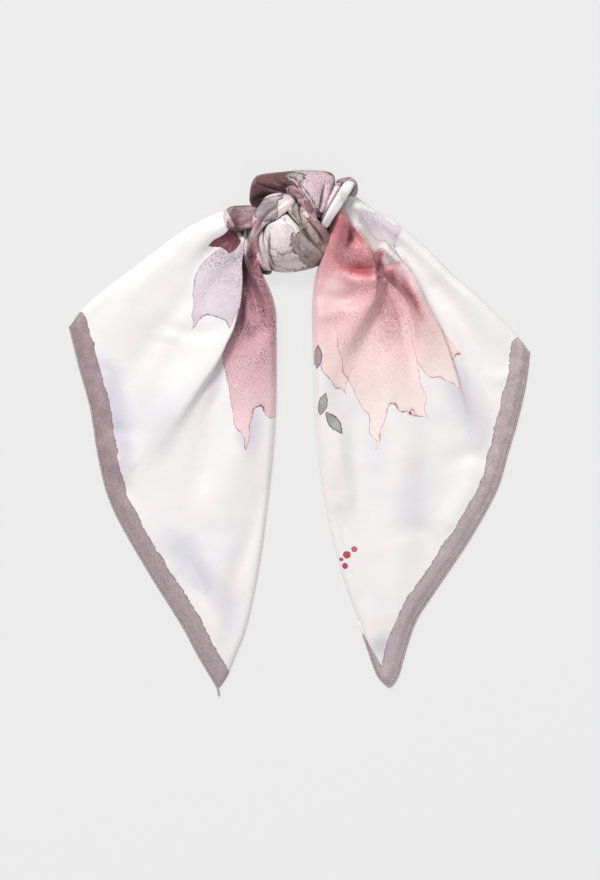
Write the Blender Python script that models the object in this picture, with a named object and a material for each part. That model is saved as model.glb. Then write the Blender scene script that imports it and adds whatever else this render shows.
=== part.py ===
"""A silk square scarf, folded in half along its length, tied once in the middle and laid flat.

The scarf lies on the plane z = 0 with the knot towards +Y and its two tails spread towards -Y.
Each tail is a thin front wall that turns down to the floor at its two folds, an under solid that
stands for the hidden layers it lies on, and a rolled hem along its free edge. The knot is a core
of hidden cloth with one solid for each stretch of cloth that shows, wound over it.
All tables are in millimetres and are turned into metres where a mesh is made.
"""

import math
from collections import namedtuple

import bmesh
import bpy
import numpy as np

MM = 0.001

# Driving dimensions, in millimetres.
WALL = 1.3  # cloth wall of a tail's front
GAP = 0.3  # air left between two pieces that touch
UNDER_THICK = 3.0  # the hidden layers under a tail, pressed flat
UNDER_INSET = 4.0  # how far those layers stay inside the two side folds
HEM_DIAMETER = 2.6  # the rolled hem
HEM_SETBACK = HEM_DIAMETER + GAP  # a front wall stops this far inside the hem's outer line
HEM_DROP = 11.0  # over this distance a front wall comes down to the rolled hem
REST = UNDER_THICK + GAP + WALL  # top of a front wall where it lies on the under layers
KNOT_MIDDLE = (-4.0, 229.0, 8.0)  # what the knot's stretches wind round

# How finely each kind of piece is divided.
SECTIONS = 21  # steps along a tail, from the knot to where it comes down to the hem
ARC_STEPS = 3  # steps round each side fold
FIELD_STEPS = 25  # steps across a tail between its side folds
HEM_SIDES = 6
STRETCH_SIDES = 14
STRETCH_STEPS = 2  # steps between two stations of a stretch
CORE_SIDES = 28
CORE_RINGS = 7

Tail = namedtuple("Tail", "name root outer inner hem crown rim inner_lift hem_wrap hem_tip")
Fold = namedtuple("Fold", "name path height east west lean")
Stretch = namedtuple("Stretch", "name colour puff stations")
Core = namedtuple("Core", "name middle radii turn")

# Each tail: outlines as (x, y). root crosses the tail at the knot, outer and inner are its two
# side folds from the knot outwards, hem is its free edge from the outer corner to the inner fold.
# crown is the height of the cloth at even steps from the knot to the hem, rim is the radius of the
# side folds at the knot and at the hem, and inner_lift is how high the inner fold starts on the
# knot and by which share of the tail's length it has come down to the floor. hem_wrap is how many
# steps of the inner fold the hem follows past the tip, and hem_tip how far it sticks out there.
LEFT = Tail(
    name="left",
    root=((-50, 247), (-46, 228), (-38, 204), (-29, 184)),
    outer=((-50, 247), (-76, 245), (-119, 225), (-174, 184), (-211, 156), (-232, 137),
           (-247, 117)),
    inner=((-29, 184), (-25, 160), (-24, 120), (-24, 38), (-27, -18), (-34, -81), (-42, -140),
           (-55, -203), (-68, -238), (-78, -261), (-87, -273)),
    hem=((-247, 117), (-236, 72), (-224, 28), (-215, -27), (-201, -77), (-164, -144),
         (-127, -203), (-107, -240), (-87, -273)),
    crown=(20, 15, 11, 8.5, 7.0, 6.0, 5.4),
    rim=(8, 5),
    inner_lift=(0, 0.1),
    hem_wrap=0,
    hem_tip=9,
)
RIGHT = Tail(
    name="right",
    root=((61, 258), (52, 257), (42, 248), (34, 226)),
    outer=((61, 258), (84, 242), (108, 228), (141, 199), (168, 172), (196, 148), (234, 109),
           (249, 90)),
    inner=((34, 226), (32, 207), (27, 192), (20, 168), (16, 134), (16, 75), (18, 19), (23, -36),
           (34, -100), (49, -155), (69, -209), (79, -238), (88, -261), (100, -272)),
    hem=((249, 90), (245, 56), (236, 15), (225, -22), (214, -59), (188, -107),
         (151, -163), (127, -200), (114, -238), (108, -260), (100, -272)),
    crown=(33, 19, 11.5, 8.5, 7.0, 6.0, 5.4),
    rim=(8, 5),
    inner_lift=(32, 0.15),
    hem_wrap=3,
    hem_tip=0,
)

# Each fold: its path as (x, y) from the knot outwards, and values at even steps along the path:
# its height, how far it reaches to the east (+X) and to the west, and how far its crest leans to
# the east. A trough has a negative height.
LEFT_FOLDS = (
    Fold("main_pleat", ((-60, 226), (-67, 196), (-69, 160), (-71, 124), (-79, 92), (-98, 50),
         (-122, 18), (-146, -12), (-172, -47)), (4, 12, 12, 10, 6, 4, 2), (8, 7, 8, 12, 17),
         (17, 20, 30), (0, 7, 7, 5, 2, 0)),
    Fold("inner_roll", ((-56, 212), (-57, 200), (-52, 188), (-44, 176), (-36, 160), (-31, 140),
         (-29, 112)), (2, 6, 6, 5, 3, 0), (6, 7), (6, 8), (0,)),
    Fold("plum_valley", ((-60, 186), (-52, 160), (-50, 128), (-52, 100)), (-4, -6, -4, -1), (7, 9),
         (7, 9), (0,)),
    Fold("outer_roll", ((-70, 236), (-92, 228), (-120, 212)), (3, 5, 2), (10, 16), (10, 16), (0,)),
    Fold("flap_valley", ((-62, 222), (-78, 213), (-96, 196), (-126, 170)), (-2, -6, -4, -1),
         (7, 14), (7, 14), (0,)),
    Fold("upper_swell", ((-110, 222), (-140, 194), (-180, 160), (-212, 116)), (3, 6, 5, 2),
         (18, 22), (18, 22), (0,)),
    Fold("shoulder_dip", ((-92, 190), (-120, 146), (-160, 96), (-192, 50)), (-2, -4, -3, -1),
         (12, 16), (12, 16), (0,)),
    Fold("inner_swell", ((-40, 100), (-46, 50), (-62, -20), (-84, -80)), (2, 5, 6, 4),
         (14, 26), (12, 26), (0,)),
    Fold("tip_swell", ((-80, -120), (-84, -180), (-88, -232)), (3, 4, 1), (14, 10), (16, 10), (0,)),
    Fold("hem_swell", ((-208, 60), (-196, -10), (-178, -75), (-140, -140)), (2, 3, 4, 2),
         (10, 14), (12, 12), (0,)),
)
RIGHT_FOLDS = (
    Fold("outer_pleat", ((96, 200), (110, 184), (122, 166), (137, 140), (152, 105), (166, 65),
         (182, 10)), (3, 9, 12, 11, 9, 6, 2), (8, 7, 8, 12), (17, 20), (0, 6, 7, 5, 2, 0)),
    Fold("middle_pleat", ((94, 180), (84, 158), (70, 134), (54, 108), (41, 82), (30, 40)),
         (5, 9, 8, 6, 4, 1), (8, 12), (16, 22), (2, 4, 2, 0)),
    Fold("knot_ridge", ((47, 241), (45, 226), (40, 210), (34, 192)), (7, 8, 6, 2), (7, 8),
         (7, 8), (0,)),
    Fold("knot_pocket", ((53, 234), (55, 220), (59, 208)), (-3, -6, -3), (6, 7), (6, 7), (0,)),
    Fold("lobe_edge", ((62, 226), (66, 212), (71, 196), (73, 180)), (3, 7, 9, 6), (7, 8), (12, 14),
         (0, 4, 4)),
    Fold("lobe_crease", ((92, 176), (80, 166), (62, 165), (38, 172)), (-5, -6, -5, -2), (6, 6),
         (7, 7), (0,)),
    Fold("outer_swell", ((90, 236), (140, 192), (186, 146), (222, 98)), (3, 5, 6, 2), (14, 16),
         (12, 16), (0,)),
    Fold("inner_swell", ((26, 140), (24, 75), (30, 10), (44, -70)), (3, 4, 4, 3), (10, 16), (8, 12),
         (0,)),
    Fold("lower_swell", ((96, 60), (110, -20), (112, -110), (108, -190)), (4, 6, 5, 2), (24, 18),
         (22, 18), (0,)),
    Fold("hem_swell", ((214, 40), (196, -30), (166, -90)), (1, 3, 3), (12, 12), (14, 14), (0,)),
)

# Each stretch of the knot has a row for each station: x, y, z of one edge, x, y, z of the other
# edge, and the thickness of the folded cloth there. puff is how far its middle stands out from the
# straight line between its edges. The first stretch lies uppermost.
MAUVE = (0.62, 0.50, 0.55)
PLUM = (0.36, 0.20, 0.26)
PALE = (0.80, 0.72, 0.74)
TAUPE = (0.46, 0.39, 0.38)
WHITE = (0.92, 0.91, 0.91)
STRETCHES = (
    Stretch("knot_white_roll", WHITE, 1.0, (
        (54, 274, 30, 60, 271, 27, 6),
        (48, 269, 41, 58.5, 266.5, 37, 8),
        (41, 257.5, 46, 52.5, 256, 42, 9),
        (33, 244, 47, 44, 242.5, 43, 9),
        (27, 232, 46, 34.5, 230, 43, 8),
        (24.5, 226, 42, 29, 221, 39, 6),
    )),
    Stretch("knot_pale_fold", PALE, 0.5, (
        (40, 271, 34, 48, 271, 36, 6),
        (34.5, 257, 40, 41, 258, 42, 7),
        (29.5, 246, 42, 34, 245, 43, 7),
        (25, 234.5, 41, 28, 233, 42, 6),
        (23.5, 228, 38, 25.5, 227, 38, 4),
    )),
    Stretch("knot_throat_roll", PLUM, 1.0, (
        (-15, 265, 38, -11, 256, 35, 5),
        (-7, 268, 42, -5.5, 256, 38, 6),
        (2.5, 262.5, 45, -0.5, 252.5, 39, 7),
        (9.5, 252.5, 47, 1, 248.5, 39, 8),
        (15, 243, 47, 4.5, 244, 40, 8),
        (19.5, 234, 44, 11, 235, 40, 7),
        (21.5, 227, 40, 16.5, 227.5, 38, 5),
    )),
    Stretch("knot_right_loop", MAUVE, 1.5, (
        (40, 273, 27, 42, 266, 30, 6),
        (46.5, 275.5, 27, 46.5, 266, 33, 7),
        (54, 276, 25, 52, 266, 33, 8),
        (60, 272, 21, 53, 263, 32, 8),
        (62, 264.5, 17, 51, 258, 31, 8),
        (61.5, 257, 14, 48, 253, 30, 8),
    )),
    Stretch("knot_cross_band", TAUPE, 2.5, (
        (2, 247, 35, 5, 247, 36, 6),
        (2, 238.5, 40, 10, 240, 41, 8),
        (4.5, 228, 41, 20, 231.5, 41, 8),
        (8, 219, 40, 28, 224, 39, 9),
        (14.5, 209.5, 37, 33.5, 218.5, 35, 9),
        (21, 200.5, 32, 37, 213, 30, 9),
        (27.5, 194.5, 25, 38.5, 206, 23, 8),
    )),
    Stretch("knot_top_loop", MAUVE, 4.5, (
        (-52, 246.5, 6, -42, 246.5, 12, 9),
        (-51.5, 257.5, 10, -37.5, 252, 22, 10),
        (-48, 270, 12, -32, 257.5, 30, 10),
        (-41.5, 278, 13, -25.5, 259.5, 34, 10),
        (-27, 280, 14, -18.5, 260.5, 36, 10),
        (-12, 281.5, 15, -12, 263, 38, 10),
        (5.5, 282, 16, -6.5, 267, 41, 10),
        (22.5, 282.5, 17, 1, 261.5, 44, 10),
        (33.5, 280, 18, 8, 253.5, 45, 10),
        (37.5, 271.5, 24, 13.5, 244.5, 45, 9),
        (33.5, 255, 36, 17.5, 237, 44, 8),
        (25, 239, 41, 20.5, 232, 43, 6),
    )),
    Stretch("knot_green_fold", TAUPE, 1.0, (
        (-5, 250.5, 33, 0, 251.5, 33, 6),
        (-12, 242.5, 38, 1, 244, 37, 7),
        (-6.5, 233.5, 40, 2, 233.5, 39, 7),
        (0.5, 226, 40, 4.5, 226, 39, 6),
        (4.5, 221, 38, 6.5, 221, 38, 4),
    )),
    Stretch("knot_left_wrap", PALE, 2.5, (
        (-13, 259.5, 32, 0, 252.5, 34, 7),
        (-20, 260, 35, -7.5, 244.5, 39, 8),
        (-28.5, 258.5, 34, -15.5, 237.5, 42, 9),
        (-35, 255, 32, -24, 232, 42, 9),
        (-41.5, 246, 28, -32, 230, 39, 9),
        (-47.5, 236, 24, -37.5, 224, 35, 9),
        (-52, 226.5, 19, -41.5, 218.5, 31, 9),
        (-54.5, 217.5, 14, -44, 211, 26, 8),
        (-54.5, 209, 10, -46, 203.5, 20, 7),
        (-52.5, 200, 7, -49, 199, 12, 5),
    )),
    Stretch("knot_belly", PALE, 6.0, (
        (-17, 238.5, 36, -12, 239, 36, 7),
        (-24.5, 231.5, 38, -3.5, 228, 40, 9),
        (-32.5, 227, 36, 4.5, 220.5, 40, 10),
        (-37, 218, 34, 11, 211.5, 37, 10),
        (-37, 207.5, 33, 17, 204, 33, 10),
        (-35, 196.5, 30, 22, 197, 28, 10),
        (-33, 187, 22, 24, 191, 20, 10),
        (-30.5, 179.5, 13, 22, 186, 11, 9),
        (-28.5, 177.5, 5, 18.5, 185, 4.5, 7),
    )),
    Stretch("knot_left_body", PLUM, 2.0, (
        (-46.5, 218, 24, -36, 226.5, 32, 8),
        (-52, 208.5, 12, -37, 215, 32, 9),
        (-52, 197.5, 10, -36, 202.5, 31, 9),
        (-48.5, 187.5, 8, -33.5, 191, 26, 9),
        (-43, 180, 6, -31.5, 182, 18, 8),
        (-37.5, 175.5, 4, -29, 176.5, 9, 6),
    )),
    Stretch("knot_left_flap", PLUM, 1.0, (
        (-42, 245, 26, -47, 231.5, 30, 6),
        (-53.5, 248, 23, -54.5, 225.5, 32, 7),
        (-65, 249, 20, -63.5, 222.5, 31, 7),
        (-73, 246, 18, -71.5, 225, 28, 7),
        (-79, 241, 18, -78, 228.5, 25, 6),
        (-82, 236, 18, -80.5, 231, 22, 4),
    )),
)


# The knot's hidden cloth, as domes on a flat base: middle (x, y), radii (x, y, z), turn in degrees.
CORES = (
    Core("knot_core", (-4, 229), (44, 43, 36), 0),
    Core("knot_right_core", (42, 254), (25, 12, 39), 57),
)

# What lies over each piece, and is cut out of it with a gap.
OVER_RIGHT_TAIL = ("knot_white_roll", "knot_pale_fold", "knot_right_loop")
ORDER = [stretch.name for stretch in STRETCHES]
BELOW_RIGHT_TAIL = [name for name in ORDER if name not in OVER_RIGHT_TAIL]
ABOVE = {name: ORDER[:place] for place, name in enumerate(ORDER) if place}
for name in BELOW_RIGHT_TAIL:
    ABOVE[name] = [*ABOVE[name], "right_front"]
ABOVE["right_front"] = list(OVER_RIGHT_TAIL)
ABOVE["left_front"] = [*ORDER]
ABOVE["knot_core"] = [*ORDER, "right_front", "left_front"]
ABOVE["knot_right_core"] = [*ORDER, "right_front", "knot_core"]
ABOVE["left_under"] = [*ORDER, "knot_core"]
ABOVE["right_under"] = [*ORDER, "knot_core", "knot_right_core"]


def curve_through(rows, steps):
    """A smooth curve through the rows, of any number of columns, with steps between two rows."""
    rows = np.array(rows, float)
    ends = np.vstack([2 * rows[0] - rows[1], rows, 2 * rows[-1] - rows[-2]])
    share = np.linspace(0, 1, steps, endpoint=False)[:, None]
    parts = [
        0.5 * (2 * b + (c - a) * share + (2 * a - 5 * b + 4 * c - d) * share**2
               + (3 * b - a - 3 * c + d) * share**3)
        for a, b, c, d in zip(ends, ends[1:], ends[2:], ends[3:])
    ]
    return np.vstack([*parts, rows[-1:]])


def smooth_line(points, count):
    """count even steps along a smooth curve through the points."""
    dense = curve_through(points, 12)
    step = np.linalg.norm(np.diff(dense, axis=0), axis=1)
    along = np.concatenate([[0], np.cumsum(step)])
    wanted = np.linspace(0, along[-1], count)
    return np.column_stack([np.interp(wanted, along, column) for column in dense.T])


def at(line, share):
    """The point at a share, from 0 to 1, of an evenly stepped line."""
    steps = np.linspace(0, 1, len(line))
    return np.stack([np.interp(share, steps, column) for column in line.T], axis=-1)


def tail_plan(tail, along, across):
    """The plan points of a tail at shares along it, from the knot, and across it, from its outer fold."""
    root, outer, inner, hem = (
        smooth_line(line, 80) for line in (tail.root, tail.outer, tail.inner, tail.hem)
    )
    along_, across_ = along[..., None], across[..., None]
    between_folds = (1 - across_) * at(outer, along) + across_ * at(inner, along)
    between_ends = (1 - along_) * at(root, across) + along_ * at(hem, across)
    corners = (1 - along_) * ((1 - across_) * root[0] + across_ * root[-1]) + along_ * (
        (1 - across_) * hem[0] + across_ * hem[-1]
    )
    return between_folds + between_ends - corners


def along_table(values, share):
    """The value at each share of a table whose values stand at even steps from 0 to 1."""
    return np.interp(share, np.linspace(0, 1, len(values)), values)


def fold_effect(fold, plan):
    """The height that one fold adds to each plan point, and its shift in the plan."""
    line = smooth_line(fold.path, 40)
    start, step = line[:-1], np.diff(line, axis=0)
    offset = plan[:, None, :] - start
    share = np.clip((offset * step).sum(2) / (step * step).sum(1), 0, 1)
    offset = offset - share[..., None] * step
    nearest = (offset**2).sum(2).argmin(1)
    rows = np.arange(len(plan))
    offset, share = offset[rows, nearest], (nearest + share[rows, nearest]) / len(step)
    way = step[nearest] / np.linalg.norm(step[nearest], axis=1)[:, None]
    east = np.column_stack([-way[:, 1], way[:, 0]])
    side = (offset * east).sum(1)
    reach = np.where(side > 0, along_table(fold.east, share), along_table(fold.west, share))
    swell = np.exp(-(offset**2).sum(1) / reach**2)
    shift = (swell * along_table(fold.lean, share))[:, None] * east
    return swell * along_table(fold.height, share), shift


def tail_points(tail, folds, along, across, risen):
    """The outer face of a tail's front at shares along and across it.

    risen is how far each point has come up round a side fold, from 0 on the floor to 1 on top.
    """
    plan = tail_plan(tail, along, across)
    flat = plan.reshape(-1, 2)
    height, shift = np.zeros(len(flat)), np.zeros_like(flat)
    for fold in folds:
        more_height, more_shift = fold_effect(fold, flat)
        height += more_height
        shift += more_shift
    crown = along_table(tail.crown, along)
    # Close to the hem the cloth comes down from the under layers to the rolled hem.
    left_to_go = (1 - along) * tail_length(tail, across) - HEM_SETBACK
    share = np.clip(left_to_go / HEM_DROP, 0, 1)
    share = share * share * (3 - 2 * share)
    at_hem = 0.5 * (HEM_DIAMETER + WALL)
    rest = at_hem + (REST - at_hem) * share
    crown = at_hem + (crown - at_hem) * share
    top = np.maximum(crown + height.reshape(along.shape) * (0.35 + 0.65 * share), rest)
    rise, reach = tail.inner_lift
    floor = rise * across * np.clip(1 - along / reach, 0, 1) ** 1.5
    plan = plan + shift.reshape(plan.shape) * (risen**2)[..., None]
    return np.dstack([plan, floor + np.maximum(top - floor, rest) * risen])


def tail_length(tail, across):
    """The length of a tail from the knot to the hem at shares across it."""
    ends = [tail_plan(tail, np.full_like(across, end), across) for end in (0.0, 1.0)]
    return np.linalg.norm(ends[1] - ends[0], axis=-1)


def tail_surface(tail, folds):
    """The outer face of a tail's front wall, as rows of points from the knot to the hem."""
    rows = np.concatenate([np.linspace(0, 1, SECTIONS + 1), [1.0, 1.0]])
    to_hem = np.concatenate([np.full(SECTIONS + 1, HEM_DROP), [0.5 * HEM_DROP, 0.0]])
    turn = np.linspace(0, math.pi / 2, ARC_STEPS + 1)[:-1]
    surface = []
    for row, distance in zip(rows, to_hem):
        ends = tail_plan(tail, np.array([row, row]), np.array([0.0, 1.0]))
        width = max(float(np.linalg.norm(ends[1] - ends[0])), 4.0)
        rim = min(float(along_table(tail.rim, row)), 0.3 * width)
        side = rim * (1 - np.cos(turn)) / width
        field = even_columns(tail, folds, row, rim / width)
        across = np.concatenate([side, field, 1 - side[::-1]])
        risen = np.concatenate([np.sin(turn), np.ones(len(field)), np.sin(turn)[::-1]])
        length = tail_length(tail, across)
        along = row * (1 - (HEM_SETBACK + distance) / length)
        surface.append(tail_points(tail, folds, along[None], across[None], risen[None])[0])
    return np.array(surface)


def even_columns(tail, folds, row, first):
    """Shares across one section that are closer together where the cloth is steep."""
    across = np.linspace(first, 1 - first, 200)
    along = np.full_like(across, 0.97 * row)
    points = tail_points(tail, folds, along[None], across[None], np.ones((1, 200)))[0]
    step = np.abs(np.diff(points, axis=0)) @ np.array([1.0, 1.0, 2.5])
    measure = np.concatenate([[0], np.cumsum(step + step.mean())])
    return np.interp(np.linspace(0, measure[-1], FIELD_STEPS + 1), measure, across)


def add_object(name, data, colour):
    """An object that shows mesh data, with a plain silk material of its colour."""
    material = bpy.data.materials.new(name)
    material.use_nodes = True
    shader = material.node_tree.nodes["Principled BSDF"]
    shader.inputs["Base Color"].default_value = (*colour, 1)
    shader.inputs["Roughness"].default_value = 0.42
    shader.inputs["Metallic"].default_value = 0
    data.materials.append(material)
    data.shade_smooth()
    obj = bpy.data.objects.new(name, data)
    bpy.context.scene.collection.objects.link(obj)
    return obj


def mesh_of(name, points, faces):
    """A mesh from points in millimetres and faces, with its faces turned to one side."""
    data = bpy.data.meshes.new(name)
    data.from_pydata([tuple(point * MM) for point in points], [], faces)
    data.update()
    return data


def sheet_mesh(name, surface):
    """An open sheet through rows of points, with its upper side outwards."""
    if np.cross(surface[1, 0] - surface[0, 0], surface[0, -1] - surface[0, 0])[2] < 0:
        surface = surface[:, ::-1]
    rows, columns, _ = surface.shape
    index = np.arange(rows * columns).reshape(rows, columns)
    faces = [
        (index[i, j], index[i + 1, j], index[i + 1, j + 1], index[i, j + 1])
        for i in range(rows - 1)
        for j in range(columns - 1)
    ]
    return mesh_of(name, surface.reshape(-1, 3), faces)


def ring_mesh(name, rings):
    """A closed solid through rings of points, with a flat or domed face at each end."""
    count, sides, _ = rings.shape
    index = np.arange(count * sides).reshape(count, sides)
    faces = [tuple(index[0, ::-1]), tuple(index[-1])]
    for low, high in zip(index, index[1:]):
        for k in range(sides):
            faces.append((low[k], low[(k + 1) % sides], high[(k + 1) % sides], high[k]))
    data = mesh_of(name, rings.reshape(-1, 3), faces)
    shape = bmesh.new()
    shape.from_mesh(data)
    bmesh.ops.recalc_face_normals(shape, faces=shape.faces)
    bmesh.ops.triangulate(shape, faces=[face for face in shape.faces if len(face.verts) > 4])
    shape.to_mesh(data)
    shape.free()
    return data


def make_helper(obj):
    """Marks an object as a cutter, which is no piece of the scarf."""
    obj.hide_render = True
    obj.display_type = "WIRE"
    return obj


def clearance_of(obj):
    """A cutter that stands off a closed piece by the gap, made before anything is cut from it."""
    data = obj.data.copy()
    normals = [vertex.normal.copy() for vertex in data.vertices]
    for vertex, normal in zip(data.vertices, normals):
        vertex.co += normal * (1.3 * GAP * MM)
    cutter = bpy.data.objects.new(f"{obj.name}_clearance", data)
    bpy.context.scene.collection.objects.link(cutter)
    return make_helper(cutter)


def thicken(obj, thickness):
    """Gives a sheet its thickness, downwards from the face that it has."""
    wall = obj.modifiers.new("wall", "SOLIDIFY")
    wall.thickness = thickness * MM
    wall.offset = -1


def with_margin(surface, margin):
    """A surface continued past its two sides and the end at the knot."""
    def past(edge, inside):
        way = edge - inside
        return edge + margin * way / np.linalg.norm(way, axis=-1, keepdims=True)

    surface = np.concatenate([past(surface[:1], surface[1:2]), surface])
    first = past(surface[:, :1], surface[:, 1:2])
    last = past(surface[:, -1:], surface[:, -2:-1])
    return np.concatenate([first, surface, last], axis=1)


def tail_front(tail, folds):
    """A tail's front wall, and the helper that keeps other pieces clear of it."""
    surface = tail_surface(tail, folds)
    front = add_object(f"{tail.name}_front", sheet_mesh(f"{tail.name}_front", surface), WHITE)
    thicken(front, WALL)
    data = sheet_mesh(f"{tail.name}_front_clearance", with_margin(surface, 1.5 * GAP))
    normals = [vertex.normal.copy() for vertex in data.vertices]
    for vertex, normal in zip(data.vertices, normals):
        vertex.co += normal * (GAP * MM)
    clearance = make_helper(add_object(f"{tail.name}_front_clearance", data, WHITE))
    thicken(clearance, WALL + 2 * GAP)
    return front, clearance, surface


def mitred_normals(line):
    """Level normals of a line's points, long enough at its corners to keep its sides parallel."""
    way = np.diff(line[:, :2], axis=0)
    normal = np.column_stack([way[:, 1], -way[:, 0]]) / np.linalg.norm(way, axis=1)[:, None]
    before, after = np.vstack([normal[:1], normal]), np.vstack([normal, normal[-1:]])
    middle = before + after
    middle /= np.linalg.norm(middle, axis=1)[:, None]
    middle /= np.maximum((middle * after).sum(1), 0.45)[:, None]
    return np.column_stack([middle, np.zeros(len(line))])


def drawn_in(side, other):
    """One side of a tail moved towards the other, square to itself by the inset at most."""
    way = other - side
    width = np.linalg.norm(way, axis=1)[:, None]
    square = np.abs((mitred_normals(side)[:, :2] * way).sum(1))[:, None] / width
    return side + np.minimum(UNDER_INSET / np.maximum(square, 0.3), 0.32 * width) * way / width


def tail_under(tail):
    """The hidden layers under a tail: one flat solid whose edge shows two leaves."""
    steps = np.linspace(0.08, 0.96, 15)
    sides = [tail_plan(tail, steps, np.full_like(steps, side)) for side in (0.0, 1.0)]
    outer, inner = drawn_in(sides[0], sides[1]), drawn_in(sides[1], sides[0])
    hem_shares = np.linspace(0, 1, 22)
    near_hem = 1 - (HEM_SETBACK + 1.5 * HEM_DROP) / tail_length(tail, hem_shares)
    near_hem = tail_plan(tail, near_hem, hem_shares)
    # The hem side keeps the tail's own line and starts and ends on the two inset sides.
    reach = np.interp(hem_shares, (0, 0.04, 0.9, 1), (1, 0, 0, 1))[:, None]
    ends = (1 - hem_shares[:, None]) * outer[-1] + hem_shares[:, None] * inner[-1]
    near_hem = (1 - reach) * near_hem + reach * ends
    loop = np.vstack([outer[:-1], near_hem, inner[::-1][1:]])
    # Height of each level and how far it is drawn in: two rounded leaves with a groove between.
    levels = ((0.0, 0.5), (0.7, 0.0), (1.5, 0.7), (2.3, 0.0), (UNDER_THICK, 0.5))
    closed = np.vstack([loop[-1:], loop, loop[:1]])
    way = closed[2:] - closed[:-2]
    way /= np.linalg.norm(way, axis=1)[:, None]
    outward = np.column_stack([way[:, 1], -way[:, 0]])
    if signed_area(loop) < 0:
        outward = -outward
    rings = np.array([
        np.column_stack([loop - drawn * outward, np.full(len(loop), height)])
        for height, drawn in levels
    ])
    name = f"{tail.name}_under"
    return add_object(name, ring_mesh(name, rings), WHITE)


def signed_area(loop):
    """Positive for a loop that runs counter-clockwise seen from above."""
    x, y = loop.T
    return 0.5 * float((x * np.roll(y, -1) - y * np.roll(x, -1)).sum())


def tube_rings(line, size, sides):
    """Round rings of the given sizes along a line."""
    way = np.gradient(line, axis=0)
    way /= np.linalg.norm(way, axis=1)[:, None]
    aside = np.cross(way, (0.0, 0.0, 1.0))
    aside /= np.linalg.norm(aside, axis=1)[:, None]
    up = np.cross(aside, way)
    turn = np.linspace(0, 2 * math.pi, sides, endpoint=False)
    across = np.cos(turn)[:, None] * aside[:, None, :] + np.sin(turn)[:, None] * up[:, None, :]
    return line[:, None, :] + 0.5 * size[:, None, None] * across


def stretch_rings(stretch):
    """The sections of one stretch: flattened rounds from edge to edge, standing out by its puff."""
    table = curve_through(stretch.stations, STRETCH_STEPS)
    first, second, thick = table[:, :3], table[:, 3:6], table[:, 6].copy()
    across = second - first
    width = np.linalg.norm(across, axis=1)
    out = 0.5 * (first + second) - np.array(KNOT_MIDDLE)
    out -= (out * across).sum(1)[:, None] * across / width[:, None] ** 2
    out /= np.linalg.norm(out, axis=1)[:, None]
    turn = np.linspace(0, 2 * math.pi, STRETCH_SIDES, endpoint=False)
    full = 0.8  # below 1 the section is fuller than an ellipse
    share = 0.5 - 0.5 * np.sign(np.cos(turn)) * np.abs(np.cos(turn)) ** full
    side = np.sign(np.sin(turn)) * np.abs(np.sin(turn)) ** full
    closing = np.ones(len(table))
    closing[[0, -1]] = 0.6
    puff = stretch.puff * np.minimum(1, width / width.max() + 0.2)
    rise = puff[:, None] * 4 * (share * (1 - share)) + 0.5 * (thick * closing)[:, None] * side
    share = 0.5 + (share - 0.5) * closing[:, None]
    rings = first[:, None] + share[..., None] * across[:, None] + rise[..., None] * out[:, None]
    # Cloth that would pass through the floor lies flat on it.
    rings[..., 2] = np.maximum(rings[..., 2], 0.0)
    return rings


def core_rings(core):
    """A dome of hidden cloth that stands on a flat base."""
    rise = np.linspace(0, 0.94, CORE_RINGS) * math.pi / 2
    round_ = np.linspace(0, 2 * math.pi, CORE_SIDES, endpoint=False)
    spread = np.cos(rise)[:, None] ** 0.6
    spread[0] = 0.96
    across = core.radii[0] * spread * np.cos(round_)
    along = core.radii[1] * spread * np.sin(round_)
    turn = math.radians(core.turn)
    x = core.middle[0] + across * math.cos(turn) - along * math.sin(turn)
    y = core.middle[1] + across * math.sin(turn) + along * math.cos(turn)
    z = np.broadcast_to((core.radii[2] * np.sin(rise))[:, None], x.shape)
    return np.dstack([x, y, z])


def keep_largest(data):
    """Deletes all but the largest body of a mesh, such as shavings that a cut leaves."""
    shape = bmesh.new()
    shape.from_mesh(data)
    bmesh.ops.dissolve_degenerate(shape, edges=shape.edges, dist=0.02 * MM)
    left, bodies = set(shape.verts), []
    while left:
        seed = left.pop()
        body, edge = {seed}, [seed]
        while edge:
            for link in edge.pop().link_edges:
                for vertex in link.verts:
                    if vertex in left:
                        left.discard(vertex)
                        body.add(vertex)
                        edge.append(vertex)
        bodies.append(body)
    largest = max(bodies, key=len)
    bmesh.ops.delete(shape, geom=[v for v in shape.verts if v not in largest], context="VERTS")
    shape.to_mesh(data)
    shape.free()


def apply_modifiers(obj):
    """Turns an object's modifiers into its mesh, cleaned and flat where it meets the floor."""
    graph = bpy.context.evaluated_depsgraph_get()
    data = bpy.data.meshes.new_from_object(obj.evaluated_get(graph))
    obj.modifiers.clear()
    obj.data = data
    for vertex in data.vertices:
        vertex.co.z = max(vertex.co.z, 0.0)
    keep_largest(data)


def boxes_meet(one, other):
    """Whether the bounding boxes of two objects, both at the origin, overlap."""
    first, second = np.array(one.bound_box), np.array(other.bound_box)
    apart = (first.min(0) > second.max(0)) | (second.min(0) > first.max(0))
    return not apart.any()


def carve(obj, cutters):
    """Cuts the clearance of each piece that lies over obj out of it."""
    for cutter in cutters:
        if boxes_meet(obj, cutter):
            cut = obj.modifiers.new(cutter.name, "BOOLEAN")
            cut.operation = "DIFFERENCE"
            cut.solver = "EXACT"
            cut.object = cutter
            apply_modifiers(obj)


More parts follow.
